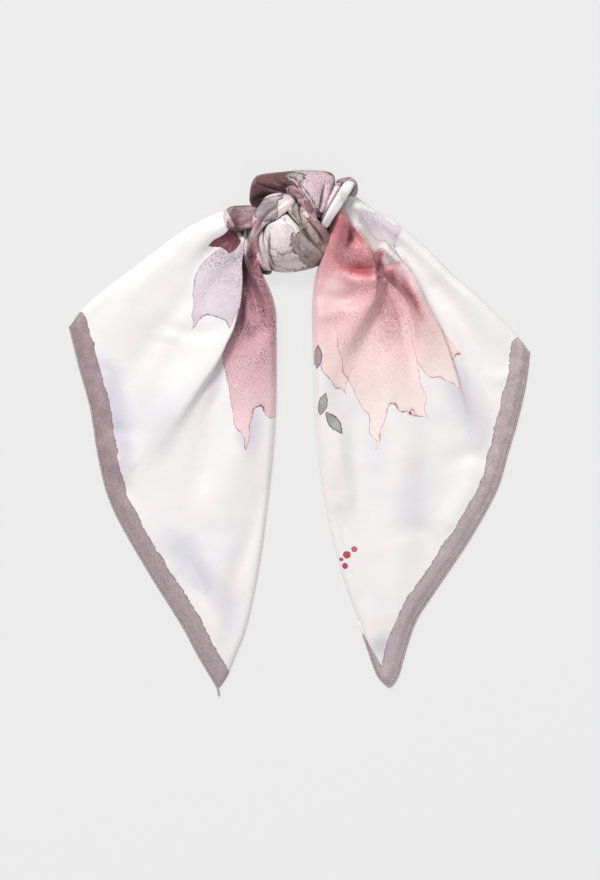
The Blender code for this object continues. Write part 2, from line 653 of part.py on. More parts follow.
def rolled_hem(tail, surface):
    """The rolled hem along a tail's free edge, made from the edge of its front wall, moved out."""
    columns = [0, *range(ARC_STEPS, surface.shape[1] - ARC_STEPS), -1]
    back = slice(-2, -2 - tail.hem_wrap, -1)
    edge = np.vstack([surface[-1, columns], surface[back, -1]])
    inside = np.vstack([surface[-3, columns], surface[back, -ARC_STEPS - 2]])
    outward = mitred_normals(edge)
    outward *= np.sign((outward * (edge - inside)).sum(1))[:, None]
    line = edge + outward * (0.5 * HEM_DIAMETER + GAP)
    line[:, 2] = np.maximum(edge[:, 2] - 0.5 * WALL, 0.5 * HEM_DIAMETER)
    if tail.hem_tip:
        line = np.vstack([line, line[-1] + tail.hem_tip * np.array([0.1, -1.0, 0.0])])
    size = np.full(len(line), HEM_DIAMETER)
    size[[0, -1]] = 0.6 * HEM_DIAMETER
    name = f"{tail.name}_hem"
    return add_object(name, ring_mesh(name, tube_rings(line, size, HEM_SIDES)), MAUVE)


def centre(pieces):
    """Moves all the pieces together until the middle of their box is over the origin."""
    corners = np.vstack([[vertex.co for vertex in piece.data.vertices] for piece in pieces])
    middle = 0.5 * (corners.min(0) + corners.max(0))
    for piece in pieces:
        for vertex in piece.data.vertices:
            vertex.co.x -= middle[0]
            vertex.co.y -= middle[1]


def clear_scene():
    for obj in list(bpy.data.objects):
        bpy.data.objects.remove(obj)


def main():
    clear_scene()
    pieces = {
        stretch.name: add_object(
            stretch.name, ring_mesh(stretch.name, stretch_rings(stretch)), stretch.colour
        )
        for stretch in STRETCHES
    }
    for core in CORES:
        pieces[core.name] = add_object(core.name, ring_mesh(core.name, core_rings(core)), PALE)
    cutters = {name: clearance_of(piece) for name, piece in pieces.items()}
    for tail, folds in ((LEFT, LEFT_FOLDS), (RIGHT, RIGHT_FOLDS)):
        front, clearance, surface = tail_front(tail, folds)
        apply_modifiers(front)
        apply_modifiers(clearance)
        pieces[front.name], cutters[front.name] = front, clearance
        under = tail_under(tail)
        pieces[under.name] = under
        hem = rolled_hem(tail, surface)
        pieces[hem.name] = hem
    for name, above in ABOVE.items():
        carve(pieces[name], [cutters[other] for other in above])
    centre(pieces.values())


main()
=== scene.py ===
"""A silk square scarf, folded in half, tied once in the middle and laid flat on a pale table.

Tables of places and sizes are in millimetres, with +Y towards the knot and +X towards the tail on
the right. MIDDLE is the middle of the laid scarf in those tables, which becomes the origin.
"""

import math
from collections import namedtuple
from functools import lru_cache

import bpy
import numpy as np
from mathutils import Matrix
from mathutils.kdtree import KDTree


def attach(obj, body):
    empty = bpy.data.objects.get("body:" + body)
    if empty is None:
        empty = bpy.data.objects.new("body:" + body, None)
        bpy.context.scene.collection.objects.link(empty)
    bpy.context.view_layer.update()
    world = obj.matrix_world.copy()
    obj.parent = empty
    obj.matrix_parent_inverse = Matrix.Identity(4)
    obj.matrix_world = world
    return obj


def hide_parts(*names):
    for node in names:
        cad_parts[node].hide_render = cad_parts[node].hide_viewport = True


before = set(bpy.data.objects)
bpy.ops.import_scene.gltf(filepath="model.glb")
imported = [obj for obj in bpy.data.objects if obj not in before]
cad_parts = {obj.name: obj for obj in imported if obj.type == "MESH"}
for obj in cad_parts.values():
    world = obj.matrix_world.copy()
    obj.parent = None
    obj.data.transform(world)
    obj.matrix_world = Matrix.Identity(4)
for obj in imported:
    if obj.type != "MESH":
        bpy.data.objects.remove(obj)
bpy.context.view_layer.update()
bpy.ops.object.select_all(action="DESELECT")

# --- The left tail's upper cloth ---
# One leaf of the folded silk square, hand-pleated where it leaves the knot, turned down to the
# table at its two folds. Silk twill of about 60 g per square metre, printed on its face.
MM = 0.001
METRE = 1000  # in millimetres
MIDDLE = np.array([1.015, 2.155, 0.0])
SILK_THICK = 0.35
HEM_DIAMETER = 2.6
HEM_SETBACK = 2.3  # the leaf ends inside the rolled hem
HEM_DROP = 11.0  # over this distance it comes down to the hem
REST = 4.6  # its height where it lies flat on the rear leaves
RIM = (15, 9)  # the radius at which a leaf turns down beside the knot and beside its hem
# A tail in the plan: its end at the knot, its outer and inner folds and its hem, then the height of
# its leaf from the knot to the hem, how far its inner fold is lifted and over which share of it,
# how much of the hem turns up past the tip, the length of the tip and where its pleats take cloth.
Tail = namedtuple("Tail", "name root outer inner hem crown inner_lift hem_wrap hem_tip anchor")
Fold = namedtuple("Fold", "path height east west lean", defaults=(0,))
LEFT = Tail(
    name="left",
    root=((-50, 247), (-48, 228), (-46, 208), (-43, 188)),
    outer=((-50, 247), (-76, 245), (-119, 225), (-174, 184), (-211, 156), (-232, 137),
           (-247, 117)),
    inner=((-43, 188), (-39, 175), (-32, 160), (-26, 142), (-24, 120), (-24, 38), (-27, -18),
           (-34, -81), (-42, -140), (-55, -203), (-68, -238), (-78, -261), (-87, -273)),
    hem=((-247, 117), (-236, 72), (-224, 28), (-215, -27), (-201, -77), (-164, -144),
         (-127, -203), (-107, -240), (-87, -273)),
    crown=(20, 15, 11, 8.5, 7.0, 6.0, 5.4),
    inner_lift=(0, 0.1),
    hem_wrap=0,
    hem_tip=9,
    anchor=0.3,
)
# Each fold: its path, then its height, its reach to the east and to the west and the lean of its
# crest at even steps along the path. A trough has a negative height.
LEFT_FOLDS = (
    # the main pleat, which rolls over the cloth to its east
    Fold(((-60, 228), (-69, 204), (-73, 187), (-73, 165), (-75, 140), (-79, 123), (-86, 105),
          (-92, 89), (-102, 69), (-114, 49), (-130, 25), (-145, 3), (-162, -17)),
         (4, 12, 14, 13, 12, 11, 9.5, 7.5, 5, 1.5), (6, 6, 6, 6.5, 8, 10.5, 15),
         (15, 18, 22, 28), (3, 11, 12, 11.5, 10, 7, 3, 1, 0, 0)),
    Fold(((-60, 214), (-75, 190), (-90, 168), (-106, 144)), (-2, -3, -2.5, -1), (4, 6, 9), (5, 8)),
    Fold(((-84, 196), (-100, 168), (-122, 132), (-150, 96)), (2, 3, 2, 0.5), (7, 12), (9, 16)),
    # the roll along the inner fold, which the knot lets out
    Fold(((-56, 212), (-58, 202), (-53, 190), (-45, 177), (-36, 160), (-30, 142), (-28, 112)),
         (2, 9, 11, 9, 7, 4, 1), (5, 6), (4, 5, 7), (0, -3, -5, -5, -2, 0)),
    Fold(((-60, 196), (-56, 176), (-50, 156), (-44, 136), (-40, 112)), (-6, -10, -8, -4, -0.5),
         (4, 6), (4, 7)),
    Fold(((-60, 150), (-62, 128), (-64, 110)), (-3, -4, -2), (5, 6), (6, 6)),
    Fold(((-28, 122), (-44, 112), (-60, 96), (-78, 78)), (-1, -2.4, -2, -0.5), (7, 9), (7, 9)),
    Fold(((-30, 100), (-46, 84), (-62, 58), (-82, 24)), (1, 2.2, 2, 0.8), (9, 13), (8, 12)),
    # under the flap beside the knot
    Fold(((-70, 236), (-92, 228), (-120, 212)), (3, 5, 2), (10, 16), (10, 16)),
    Fold(((-60, 224), (-76, 214), (-92, 200), (-116, 178)), (-2, -6, -4, -1), (5, 12), (6, 12)),
    Fold(((-84, 232), (-104, 220), (-126, 196)), (-1, -2.5, -1), (6, 9), (6, 9)),
    # long swells of the open leaf
    Fold(((-98, 216), (-130, 194), (-172, 160), (-204, 116)), (3, 5, 5, 2), (18, 22), (14, 18)),
    Fold(((-92, 190), (-120, 146), (-160, 96), (-192, 50)), (-2, -4, -3, -1), (12, 16), (12, 16)),
    Fold(((-84, 124), (-104, 112), (-128, 112), (-146, 122)), (-1, -2.5, -2, -0.5), (8, 8), (9, 8)),
    Fold(((-40, 100), (-46, 50), (-62, -20), (-84, -80)), (2, 5, 6, 4), (14, 26), (12, 26)),
    Fold(((-88, 60), (-96, 20), (-104, -30), (-112, -90)), (-1, -3, -3.5, -1.5), (14, 20),
         (14, 18)),
    Fold(((-126, -20), (-112, -80), (-94, -150), (-86, -210)), (1, 2.5, 3, 1), (14, 12), (12, 12)),
    Fold(((-80, -120), (-84, -180), (-88, -232)), (3, 4, 1), (14, 10), (16, 10)),
    Fold(((-208, 60), (-196, -10), (-178, -75), (-140, -140)), (2, 3, 4, 2), (10, 14), (12, 12)),
    Fold(((-222, 100), (-206, 80), (-186, 70)), (1.5, 2, 0.5), (8, 10), (8, 10)),
    Fold(((-214, 20), (-196, 6), (-170, 4)), (-1.6, -2.8, -0.6), (7, 10), (7, 10)),
    Fold(((-210, -12), (-194, -26), (-172, -34)), (1.2, 2.4, 0.6), (8, 10), (8, 10)),
    Fold(((-206, -40), (-190, -52), (-170, -78)), (-1.6, -3, -1), (6, 9), (6, 9)),
    Fold(((-126, -126), (-108, -158), (-90, -188)), (-1, -3, -1), (9, 10), (8, 10)),
    Fold(((-40, -60), (-52, -110), (-70, -160)), (-1, -2.5, -1), (7, 9), (9, 11)),
)
TAIL_ROWS = 190
TAIL_COLUMNS = 150
HEM_ROWS = 6  # further rows close together at the hem
SECTION_SAMPLES = 260
ROUND_STEPS = 8
RIPPLE = 0.35


def curve_through(rows, steps):
    """A smooth curve through the rows, with steps between two of them."""
    rows = np.array(rows, float)
    ends = np.vstack([2 * rows[0] - rows[1], rows, 2 * rows[-1] - rows[-2]])
    share = np.linspace(0, 1, steps, endpoint=False)[:, None]
    parts = [
        0.5 * (2 * b + (c - a) * share + (2 * a - 5 * b + 4 * c - d) * share**2
               + (3 * b - a - 3 * c + d) * share**3)
        for a, b, c, d in zip(ends, ends[1:], ends[2:], ends[3:])
    ]
    return np.vstack([*parts, rows[-1:]])


def even_steps(line, count=0, step=1.0):
    """A line's points again at count even steps, or at even steps of about one step."""
    size = np.linalg.norm(np.diff(line, axis=0), axis=1)
    along = np.concatenate([[0], np.cumsum(size)])
    wanted = np.linspace(0, along[-1], count or int(along[-1] / step) + 1)
    return np.column_stack([np.interp(wanted, along, column) for column in line.T])


@lru_cache(maxsize=None)
def smooth_line(points, count):
    """count even steps along a smooth curve through the points."""
    return even_steps(curve_through(points, 12), count)


def at(line, share):
    """The point at a share, from 0 to 1, of an evenly stepped line."""
    steps = np.linspace(0, 1, len(line))
    return np.stack([np.interp(share, steps, column) for column in line.T], axis=-1)


def even(values, share):
    """The value at a share of a table whose values stand at even steps from 0 to 1."""
    values = np.atleast_1d(values)
    return np.interp(share, np.linspace(0, 1, len(values)), values)


def soft_step(low, high, value):
    """0 below low and 1 above high, with a soft step between them."""
    share = np.clip((value - low) / (high - low), 0, 1)
    return share * share * (3 - 2 * share)


def tail_plan(tail, along, across):
    """Plan points of a tail at shares along it, from the knot, and across it, from its outer fold."""
    root, outer, inner, hem = (
        smooth_line(line, 80) for line in (tail.root, tail.outer, tail.inner, tail.hem)
    )
    along_, across_ = along[..., None], across[..., None]
    between_folds = (1 - across_) * at(outer, along) + across_ * at(inner, along)
    between_ends = (1 - along_) * at(root, across) + along_ * at(hem, across)
    corners = (1 - along_) * ((1 - across_) * root[0] + across_ * root[-1]) + along_ * (
        (1 - across_) * hem[0] + across_ * hem[-1]
    )
    return between_folds + between_ends - corners


def offsets_from(line, plan):
    """How far each plan point is from each step of a line, the share of the step at which it is
    nearest, and the steps."""
    start, step = line[:-1], np.diff(line, axis=0)
    offset = plan[:, None] - start
    share = np.clip((offset * step).sum(2) / (step * step).sum(1), 0, 1)
    return offset - share[..., None] * step, share, step


def fold_effect(fold, plan):
    """The height that one fold adds to each plan point, and its shift in the plan."""
    offset, share, step = offsets_from(smooth_line(fold.path, 40), plan)
    nearest = (offset**2).sum(2).argmin(1)
    rows = np.arange(len(plan))
    offset, share = offset[rows, nearest], (nearest + share[rows, nearest]) / len(step)
    way = step[nearest] / np.linalg.norm(step[nearest], axis=1)[:, None]
    east = np.column_stack([-way[:, 1], way[:, 0]])
    side = (offset * east).sum(1)
    reach = np.where(side > 0, even(fold.east, share), even(fold.west, share))
    swell = np.exp(-(offset**2).sum(1) / reach**2)
    return swell * even(fold.height, share), (swell * even(fold.lean, share))[:, None] * east


def ripple(plan):
    """The faint unevenness of pressed silk that has been folded and unfolded."""
    x, y = plan[..., 0], plan[..., 1]
    waves = (
        np.sin(x / 19 + 1.3 * np.sin(y / 47)) * np.sin(y / 31 + 0.7)
        + 0.6 * np.sin((x + 0.6 * y) / 12.5 + 2.1) * np.sin((y - 0.4 * x) / 27)
        + 0.35 * np.sin((0.8 * x - y) / 8.1 + 0.4) * np.sin((x + y) / 17 + 1.9)
    )
    return RIPPLE * waves


def tail_points(tail, folds, along, across, risen):
    """A leaf's face at shares along and across it, risen from 0 on the table to 1 on top."""
    plan = tail_plan(tail, along, across)
    flat = plan.reshape(-1, 2)
    height, shift = np.zeros(len(flat)), np.zeros_like(flat)
    for fold in folds:
        more_height, more_shift = fold_effect(fold, flat)
        height += more_height
        shift += more_shift
    crown = even(tail.crown, along)
    share = soft_step(0, HEM_DROP, (1 - along) * tail_length(tail, across) - HEM_SETBACK)
    at_hem = 0.5 * HEM_DIAMETER + 0.3
    rest = at_hem + (REST - at_hem) * share
    crown = at_hem + (crown - at_hem) * share
    swell = height.reshape(along.shape) * (0.35 + 0.65 * share) + ripple(plan) * share
    top = np.maximum(crown + swell, rest)
    rise, reach = tail.inner_lift
    floor = rise * across * np.clip(1 - along / reach, 0, 1) ** 1.5
    laid = plan + shift.reshape(plan.shape) * (risen**2)[..., None]
    return np.dstack([laid, floor + np.maximum(top - floor, rest) * risen]), plan


def tail_length(tail, across):
    """The length of a tail from the knot to the hem at shares across it."""
    ends = [tail_plan(tail, np.full_like(across, end), across) for end in (0.0, 1.0)]
    return np.linalg.norm(ends[1] - ends[0], axis=-1)


def even_columns(tail, folds, row, first):
    """Shares across one section that are closer together where the cloth is steep."""
    across = np.linspace(first, 1 - first, SECTION_SAMPLES)
    along = np.full_like(across, 0.97 * row)
    points, _ = tail_points(tail, folds, along[None], across[None], np.ones_like(along)[None])
    step = np.abs(np.diff(points[0], axis=0)) @ np.array([1.0, 1.0, 2.0])
    measure = np.concatenate([[0], np.cumsum(step + 1.5 * step.mean())])
    return np.interp(np.linspace(0, measure[-1], TAIL_COLUMNS + 1), measure, across)


def tail_surface(tail, folds):
    """A leaf's face as rows of points from the knot to the hem, and the cloth's own place of each."""
    rows = np.concatenate([np.linspace(0, 1, TAIL_ROWS + 1), np.ones(HEM_ROWS)])
    to_hem = np.concatenate([np.ones(TAIL_ROWS + 1), np.linspace(0.8, 0, HEM_ROWS)]) * HEM_DROP
    turn = np.linspace(0, math.pi / 2, ROUND_STEPS + 1)[:-1]
    surface, cloth = [], []
    for row, distance in zip(rows, to_hem):
        ends = tail_plan(tail, np.array([row, row]), np.array([0.0, 1.0]))
        width = max(float(np.linalg.norm(ends[1] - ends[0])), 4.0)
        rim = min(float(even(RIM, row)), 0.3 * width)
        side = rim * (1 - np.cos(turn)) / width
        field = even_columns(tail, folds, row, rim / width)
        across = np.concatenate([side, field, 1 - side[::-1]])
        risen = np.concatenate([np.sin(turn), np.ones(len(field)), np.sin(turn)[::-1]])
        along = row * (1 - (HEM_SETBACK + distance) / tail_length(tail, across))
        points, plan = tail_points(tail, folds, along[None], across[None], risen[None])
        surface.append(points[0])
        cloth.append(unpleated(points[0], plan[0], across, tail.anchor))
    return np.array(surface), np.array(cloth)


def unpleated(points, plan, across, anchor):
    """Where each point of a section lies on the open cloth: pleats take up cloth beside anchor."""
    spare = np.linalg.norm(np.diff(points, axis=0), axis=1)
    spare -= np.linalg.norm(np.diff(plan, axis=0), axis=1)
    taken = np.concatenate([[0], np.cumsum(np.maximum(spare, 0))])
    taken -= np.interp(anchor, across, taken)
    way = plan[-1] - plan[0]
    return plan + 0.8 * taken[:, None] * way / np.linalg.norm(way)


def lay_sheet(name, points, cloth, closed=False):
    """A grid of cloth moved to its laid place. Its UV map says where each point is on the print."""
    rows, columns, _ = points.shape
    bpy.ops.mesh.primitive_grid_add(x_subdivisions=columns - 1, y_subdivisions=rows - 1)
    piece = bpy.context.object
    piece.name = piece.data.name = name
    piece.data.vertices.foreach_set("co", ((points - MIDDLE) * MM).reshape(-1))
    corner = np.zeros(len(piece.data.loops), int)
    piece.data.loops.foreach_get("vertex_index", corner)
    place = piece.data.uv_layers.active
    place.name = "cloth"
    place.data.foreach_set("uv", (cloth.reshape(-1, 2) * MM)[corner].reshape(-1))
    bpy.ops.object.mode_set(mode="EDIT")
    bpy.ops.mesh.select_all(action="SELECT")
    if closed:
        bpy.ops.mesh.remove_doubles(threshold=0.02 * MM)
        bpy.ops.mesh.select_all(action="SELECT")
        bpy.ops.mesh.normals_make_consistent(inside=False)
    elif np.cross(points[-1, 0] - points[0, 0], points[0, -1] - points[0, 0])[2] < 0:
        bpy.ops.mesh.flip_normals()
    bpy.ops.object.mode_set(mode="OBJECT")
    bpy.ops.object.shade_smooth()
    return piece


def give_thickness(piece):
    """Turns a laid sheet into a thin cloth, downwards from its face."""
    wall = piece.modifiers.new("thickness", "SOLIDIFY")
    wall.thickness = SILK_THICK * MM
    wall.offset = -1
    bpy.ops.object.modifier_apply(modifier=wall.name)


left_points, left_cloth = tail_surface(LEFT, LEFT_FOLDS)
left_front = lay_sheet("left_front_silk", left_points, left_cloth)
give_thickness(left_front)


def dye(red, green, blue):
    """A colour as seen, from 0 to 255, as a colour of light."""
    return tuple(
        c / 12.92 if c <= 0.04045 else ((c + 0.055) / 1.055) ** 2.4
        for c in (red / 255, green / 255, blue / 255)
    )


def deeper(tone, share):
    """A tone with a share of its light, or with more than it has where the share is over 1."""
    return tuple(min(1.0, share * part) for part in tone)


class Amount:
    """A number that changes over the silk, with arithmetic that adds Math nodes."""

    def __init__(self, silk, socket):
        self.silk, self.socket = silk, socket

    def maths(self, operation, *others):
        """A Math node whose inputs are the others in their order."""
        return self.silk.node("ShaderNodeMath", {"operation": operation}, others)

    def __add__(self, other):
        return self.maths("ADD", self, other)

    __radd__ = __add__

    def __sub__(self, other):
        return self.maths("SUBTRACT", self, other)

    def __rsub__(self, other):
        return self.maths("SUBTRACT", other, self)

    def __mul__(self, other):
        return self.maths("MULTIPLY", self, other)

    __rmul__ = __mul__

    def __truediv__(self, other):
        return self.maths("DIVIDE", self, other)

    def __pow__(self, other):
        return self.maths("POWER", self, other)

    def abs(self):
        return self.maths("ABSOLUTE", self)

    def max(self, other):
        return self.maths("MAXIMUM", self, other)

    def min(self, other):
        return self.maths("MINIMUM", self, other)

    def rise(self, low, high):
        """0 below low and 1 above high, with a soft step between them."""
        settings = {"interpolation_type": "SMOOTHSTEP"}
        return self.silk.node("ShaderNodeMapRange", settings, (self, low, high))


class Silk:
    """A silk of its own: nodes are added by one method, and colours are laid over each other."""

    def __init__(self, name, ground):
        self.material = bpy.data.materials.new(name)
        self.material.use_nodes = True
        self.tree = self.material.node_tree
        self.shader = self.tree.nodes["Principled BSDF"]
        self.colour = (*ground, 1)
        self.noises = {}
        cloth = self.node("ShaderNodeUVMap", {"uv_map": "cloth"}, ())
        x, y = self.node("ShaderNodeSeparateXYZ", {}, (cloth,), (0, 1))
        self.x, self.y = x * METRE, y * METRE

    def node(self, kind, settings, values, outputs=0):
        """A new node with its settings and the values or links of its inputs."""
        made = self.tree.nodes.new(kind)
        for key, value in settings.items():
            if key == "stops":
                for stop, (place, tone) in enumerate(value):
                    if stop > 1:
                        made.color_ramp.elements.new(place)
                    made.color_ramp.elements[stop].position = place
                    made.color_ramp.elements[stop].color = (*tone, 1)
            else:
                setattr(made, key, value)
        pairs = values.items() if isinstance(values, dict) else enumerate(values)
        for key, value in pairs:
            self.put(value, made.inputs[key])
        if isinstance(outputs, tuple):
            return [Amount(self, made.outputs[output]) for output in outputs]
        return Amount(self, made.outputs[outputs])

    def put(self, value, socket):
        """Links an amount to a socket, or sets a constant on it."""
        if isinstance(value, Amount):
            self.tree.links.new(value.socket, socket)
        else:
            socket.default_value = value

    def noise(self, size, seed=0.0, detail=2.0):
        """Soft noise from 0 to 1 whose clouds are about size millimetres wide."""
        kind = (size, seed, detail)
        if kind not in self.noises:
            place = self.node("ShaderNodeCombineXYZ", {}, (self.x, self.y, seed * size))
            values = {"Vector": place, "Scale": 1 / size, "Detail": detail}
            self.noises[kind] = self.node("ShaderNodeTexNoise", {}, values)
        return self.noises[kind]

    def lay(self, tone, share):
        """Lays a colour over what is printed so far."""
        tone = tone if isinstance(tone, Amount) else (*tone, 1)
        values = {0: share, 6: self.colour, 7: tone}
        self.colour = self.node("ShaderNodeMix", {"data_type": "RGBA"}, values, 2)

    def attribute(self, name):
        """A number stored at the points of the cloth."""
        return self.node("ShaderNodeAttribute", {"attribute_name": name}, (), 2)

    def finish(self, weave=1.0):
        """The satin of silk twill: fine slanting ribs, faint slubs and a soft sheen."""
        ribs = self.ribs(0.62, 0.78, 0.9)
        slubs = self.noise(2.2, 3.0, 3.0)
        pressed = self.noise(17.0, 5.0, 2.0)
        relief = ribs * 0.02 * weave + slubs * 0.05 * weave + pressed * 0.5
        bump = self.node("ShaderNodeBump", {}, {"Strength": 0.55, "Distance": MM, "Height": relief})
        self.put(self.colour, self.shader.inputs["Base Color"])
        self.put(bump, self.shader.inputs["Normal"])
        self.put(self.noise(6.0, 9.0) * 0.16 + 0.36, self.shader.inputs["Roughness"])
        self.shader.inputs["Sheen Weight"].default_value = 0.25
        self.shader.inputs["Sheen Roughness"].default_value = 0.35
        self.shader.inputs["Specular IOR Level"].default_value = 0.55
        return self.material

    def ribs(self, along, across, pitch):
        """Ribs across the silk, pitch millimetres apart, on the slant that twill has."""
        turn = (self.x * along + self.y * across) * (2 * math.pi / pitch)
        return turn.maths("SINE", turn)


# A petal fans out from its root to both sides of its heading by its spread, in degrees, with a number
# of scallops. torn and grain say how uneven its wash is, tones run outwards, and line is its outline.
Petal = namedtuple("Petal", "root heading reach spread scallops torn grain tones line")
Glow = namedtuple("Glow", "middle radii turn strength grain tone")
# The noises that several washes share: size in millimetres, seed and detail.
DRIFT = (34.0, 0.3, 1.0)
CLOUD = (14.0, 5.0, 3.0)
FRAY = (9.0, 0.7, 3.0)
THREADS = (2.4,)
GRAIN_SIZE = 0.85


def torn_edge(silk, amount):
    """How far a wash has crept past its outline, large and small."""
    creep = silk.noise(*DRIFT) * 1.6 + silk.noise(*FRAY) - 1.3
    return creep * amount + (silk.noise(*THREADS) - 0.5) * min(3.4, 0.5 * amount)


def dry_edge(silk, inside, line, bleed, width=1.0, share=1.0):
    """The outline of a wash, where the pigment has dried darker."""
    broken = silk.noise(7.0, 2.0).rise(0.36, 0.6)
    bled = inside.rise(-0.2, 0.3) * (1 - inside.rise(0.5, 6.0 * width))
    silk.lay(bleed, bled * broken * 0.4 * share)
    rim = inside.rise(-0.3 * width, 0.2 * width) * (1 - inside.rise(0.5 * width, 1.5 * width))
    silk.lay(line, rim * (0.5 + 0.5 * broken) * share)


def speckle(silk, tone, share):
    """Grains of pigment left in the weave."""
    if "grain" not in silk.noises:
        cell = [part / GRAIN_SIZE + silk.noise(*THREADS) for part in (silk.x, silk.y)]
        cell = [part.maths("FLOOR", part) for part in cell]
        place = silk.node("ShaderNodeCombineXYZ", {}, cell)
        silk.noises["grain"] = silk.node("ShaderNodeTexWhiteNoise", {}, {"Vector": place})
    dots = silk.noises["grain"].rise(0.3, 0.9)
    silk.lay(tone, dots * (0.7 + 0.6 * silk.noise(*THREADS)) * share)


def turned_to(silk, start, heading):
    """How far a point is from a start, along a heading in degrees and across it."""
    turn = math.radians(heading)
    way_x, way_y = math.cos(turn), math.sin(turn)
    aside_x, aside_y = silk.x - start[0], silk.y - start[1]
    return aside_x * way_x + aside_y * way_y, aside_y * way_x - aside_x * way_y


def within(silk, patch):
    """How far a point is along and across a patch with two radii, 1 where a radius ends."""
    along, across = turned_to(silk, patch.middle, patch.turn)
    return along / patch.radii[0], across / patch.radii[1]


def away_from(silk, patch):
    """How far a point is from the middle of an oval, 1 on its outline."""
    along, across = within(silk, patch)
    return (along * along + across * across) ** 0.5


def paint_glow(silk, glow):
    """A soft cloud of colour without an outline, as where wet washes run together; the same clouds
    also lay painted shade and painted highlights on the cloth.
    """
    cloud = silk.noise(*(CLOUD if glow.grain else DRIFT))
    far = away_from(silk, glow) + (cloud - 0.5) * 0.8
    share = (1 - far.rise(0.1, 1.0)) * glow.strength
    silk.lay(glow.tone, share)
    if glow.grain:
        speckle(silk, deeper(glow.tone, 0.5), share * glow.grain)


def paint_petal(silk, petal):
    """One petal in watercolour: washes from its root outwards, grain, and a rim of dried pigment."""
    along, across = turned_to(silk, petal.root, petal.heading)
    away = (along * along + across * across) ** 0.5
    half = math.radians(petal.spread)
    turn = across.maths("ARCTAN2", across, along) / half
    rounded = (1 - turn.abs() ** 2.6).max(0) ** 0.42
    wave = (turn + silk.noise(*DRIFT) * 0.5) * (petal.scallops * math.pi / 2)
    tongues = 1 - wave.maths("SINE", wave).abs() ** 0.8
    torn = torn_edge(silk, petal.torn)
    beside = (1 - turn.abs()) * away * half + torn * 0.35
    inside = (petal.reach * (rounded + 0.2 * tongues - 0.08) + torn - away).min(beside)
    depth = away / petal.reach
    washes = silk.noise(26.0, 4.0, 3.0)
    tones = silk.node("ShaderNodeValToRGB", {"stops": petal.tones}, (depth + washes * 0.4 - 0.2,))
    wet = (0.45 - depth).max(0) * min(3.0 * petal.torn, 30.0) + 0.5
    silk.lay(tones, (inside / wet).rise(0, 1.0))
    thin = inside.rise(0, 1) * (1 - depth.rise(0.4, 1.1)) * (0.25 + 0.75 * washes.rise(0.3, 0.62))
    speckle(silk, petal.line, thin * petal.grain)
    dry_edge(silk, inside, petal.line, petal.tones[1][1], 1.25, depth.rise(0.35, 0.5))


Sprig = namedtuple("Sprig", "middle radii turn tone")


def paint_leaf(silk, leaf):
    """A small leaf, pointed at both ends, with a darker rim."""
    along, across = within(silk, leaf)
    inside = 1 - along * along - across.abs() + (silk.noise(5.0, 0.7) - 0.5) * 0.5
    silk.lay(leaf.tone, inside.rise(0, 0.1) * (0.45 + 0.5 * silk.noise(*FRAY)))
    silk.lay(deeper(leaf.tone, 0.35), inside.rise(0, 0.08) - inside.rise(0.1, 0.3))


def paint_berry(silk, berry):
    """A small round berry, darker at its rim."""
    far = away_from(silk, berry) + silk.noise(*THREADS) * 0.5 - 0.25
    silk.lay(berry.tone, 1 - far.rise(0.9, 1.05))
    silk.lay(deeper(berry.tone, 0.5), far.rise(0.7, 0.9) - far.rise(0.95, 1.1))


def paint_ground(silk, seed):
    """White silk with the faint lavender and blush that a wet ground leaves."""
    silk.lay(dye(230, 228, 238), silk.noise(75.0, seed, 2.0).rise(0.52, 0.72) * 0.3)
    silk.lay(dye(248, 236, 232), silk.noise(60.0, seed + 6, 2.0).rise(0.5, 0.7) * 0.4)


def paint_border(silk, tone):
    """The plain border, whose inner edge wavers as a brush leaves it. It is paler at the tips."""
    waver = (silk.noise(26.0, 21.0, 2.0) - 0.5) * 9 + (silk.noise(3.5, 22.0, 2.0) - 0.5) * 3.2
    inside = BORDER_WIDTH + waver - silk.attribute("to_hem") * METRE
    covered = inside.rise(0, 0.7)
    silk.lay(tone, covered)
    silk.lay(deeper(tone, 1.3), covered * silk.noise(11.0, 23.0, 4.0).rise(0.42, 0.66) * 0.7)
    silk.lay(dye(190, 177, 182), covered * (1 - silk.y.rise(-130, -20)) * 0.6)
    silk.lay(dye(176, 164, 152), covered * silk.noise(*CLOUD).rise(0.5, 0.7) * 0.4)
    speckle(silk, deeper(tone, 0.5), covered * 0.45)
    rim = inside.rise(-0.2, 0.2) * (1 - inside.rise(0.4, 1.2))
    silk.lay(dye(112, 92, 98), rim * 0.7)


def places(piece):
    """The places of a piece's points, in millimetres from the middle of the scarf."""
    place = np.zeros(len(piece.data.vertices) * 3, np.float32)
    piece.data.vertices.foreach_get("co", place)
    return place.reshape(-1, 3) / MM


def store(piece, name, values):
    """Stores a number at each point of a piece, for its material."""
    record = piece.data.attributes.new(name, "FLOAT", "POINT")
    record.data.foreach_set("value", np.asarray(values, np.float32))


def distance_to(line, plan):
    """How far each plan point is from a line, and the share of the line at which it is nearest."""
    offset, _, step = offsets_from(smooth_line(line, 90), plan)
    far = np.linalg.norm(offset, axis=2)
    return far.min(1), far.argmin(1) / len(step)


def mark_hem_distance(piece, hem, turned_up=()):
    """Stores how far each point of the cloth is from its hem, in metres. Beside the part of the
    hem that turns up past the tip the border narrows to nothing."""
    plan = places(piece)[:, :2] + MIDDLE[:2]
    nearest, _ = distance_to(hem, plan)
    if turned_up:
        beside, share = distance_to(turned_up, plan)
        nearest = np.minimum(nearest, 1.8 * beside + 20 * share)
    store(piece, "to_hem", nearest * MM)


def printed_silk(name, border, painted_shading, petals, glows, leaves=(), berries=()):
    """A tail's print, laid in the order of painting, with its border, the painted shading of its folds
    and slopes, and painted shade in the hollows between its folds.
    """
    silk = Silk(name, WHITE)
    paint_ground(silk, len(name))
    for paint, motifs in ((paint_glow, painted_shading), (paint_petal, petals), (paint_glow, glows),
                          (paint_leaf, leaves), (paint_berry, berries)):
        for motif in motifs:
            paint(silk, motif)
    # painted shade in the hollows between folds and under the knot, from the stored depth
    silk.lay(dye(84, 58, 64), silk.attribute("depth") * 0.42)
    paint_border(silk, border)
    return silk.finish()


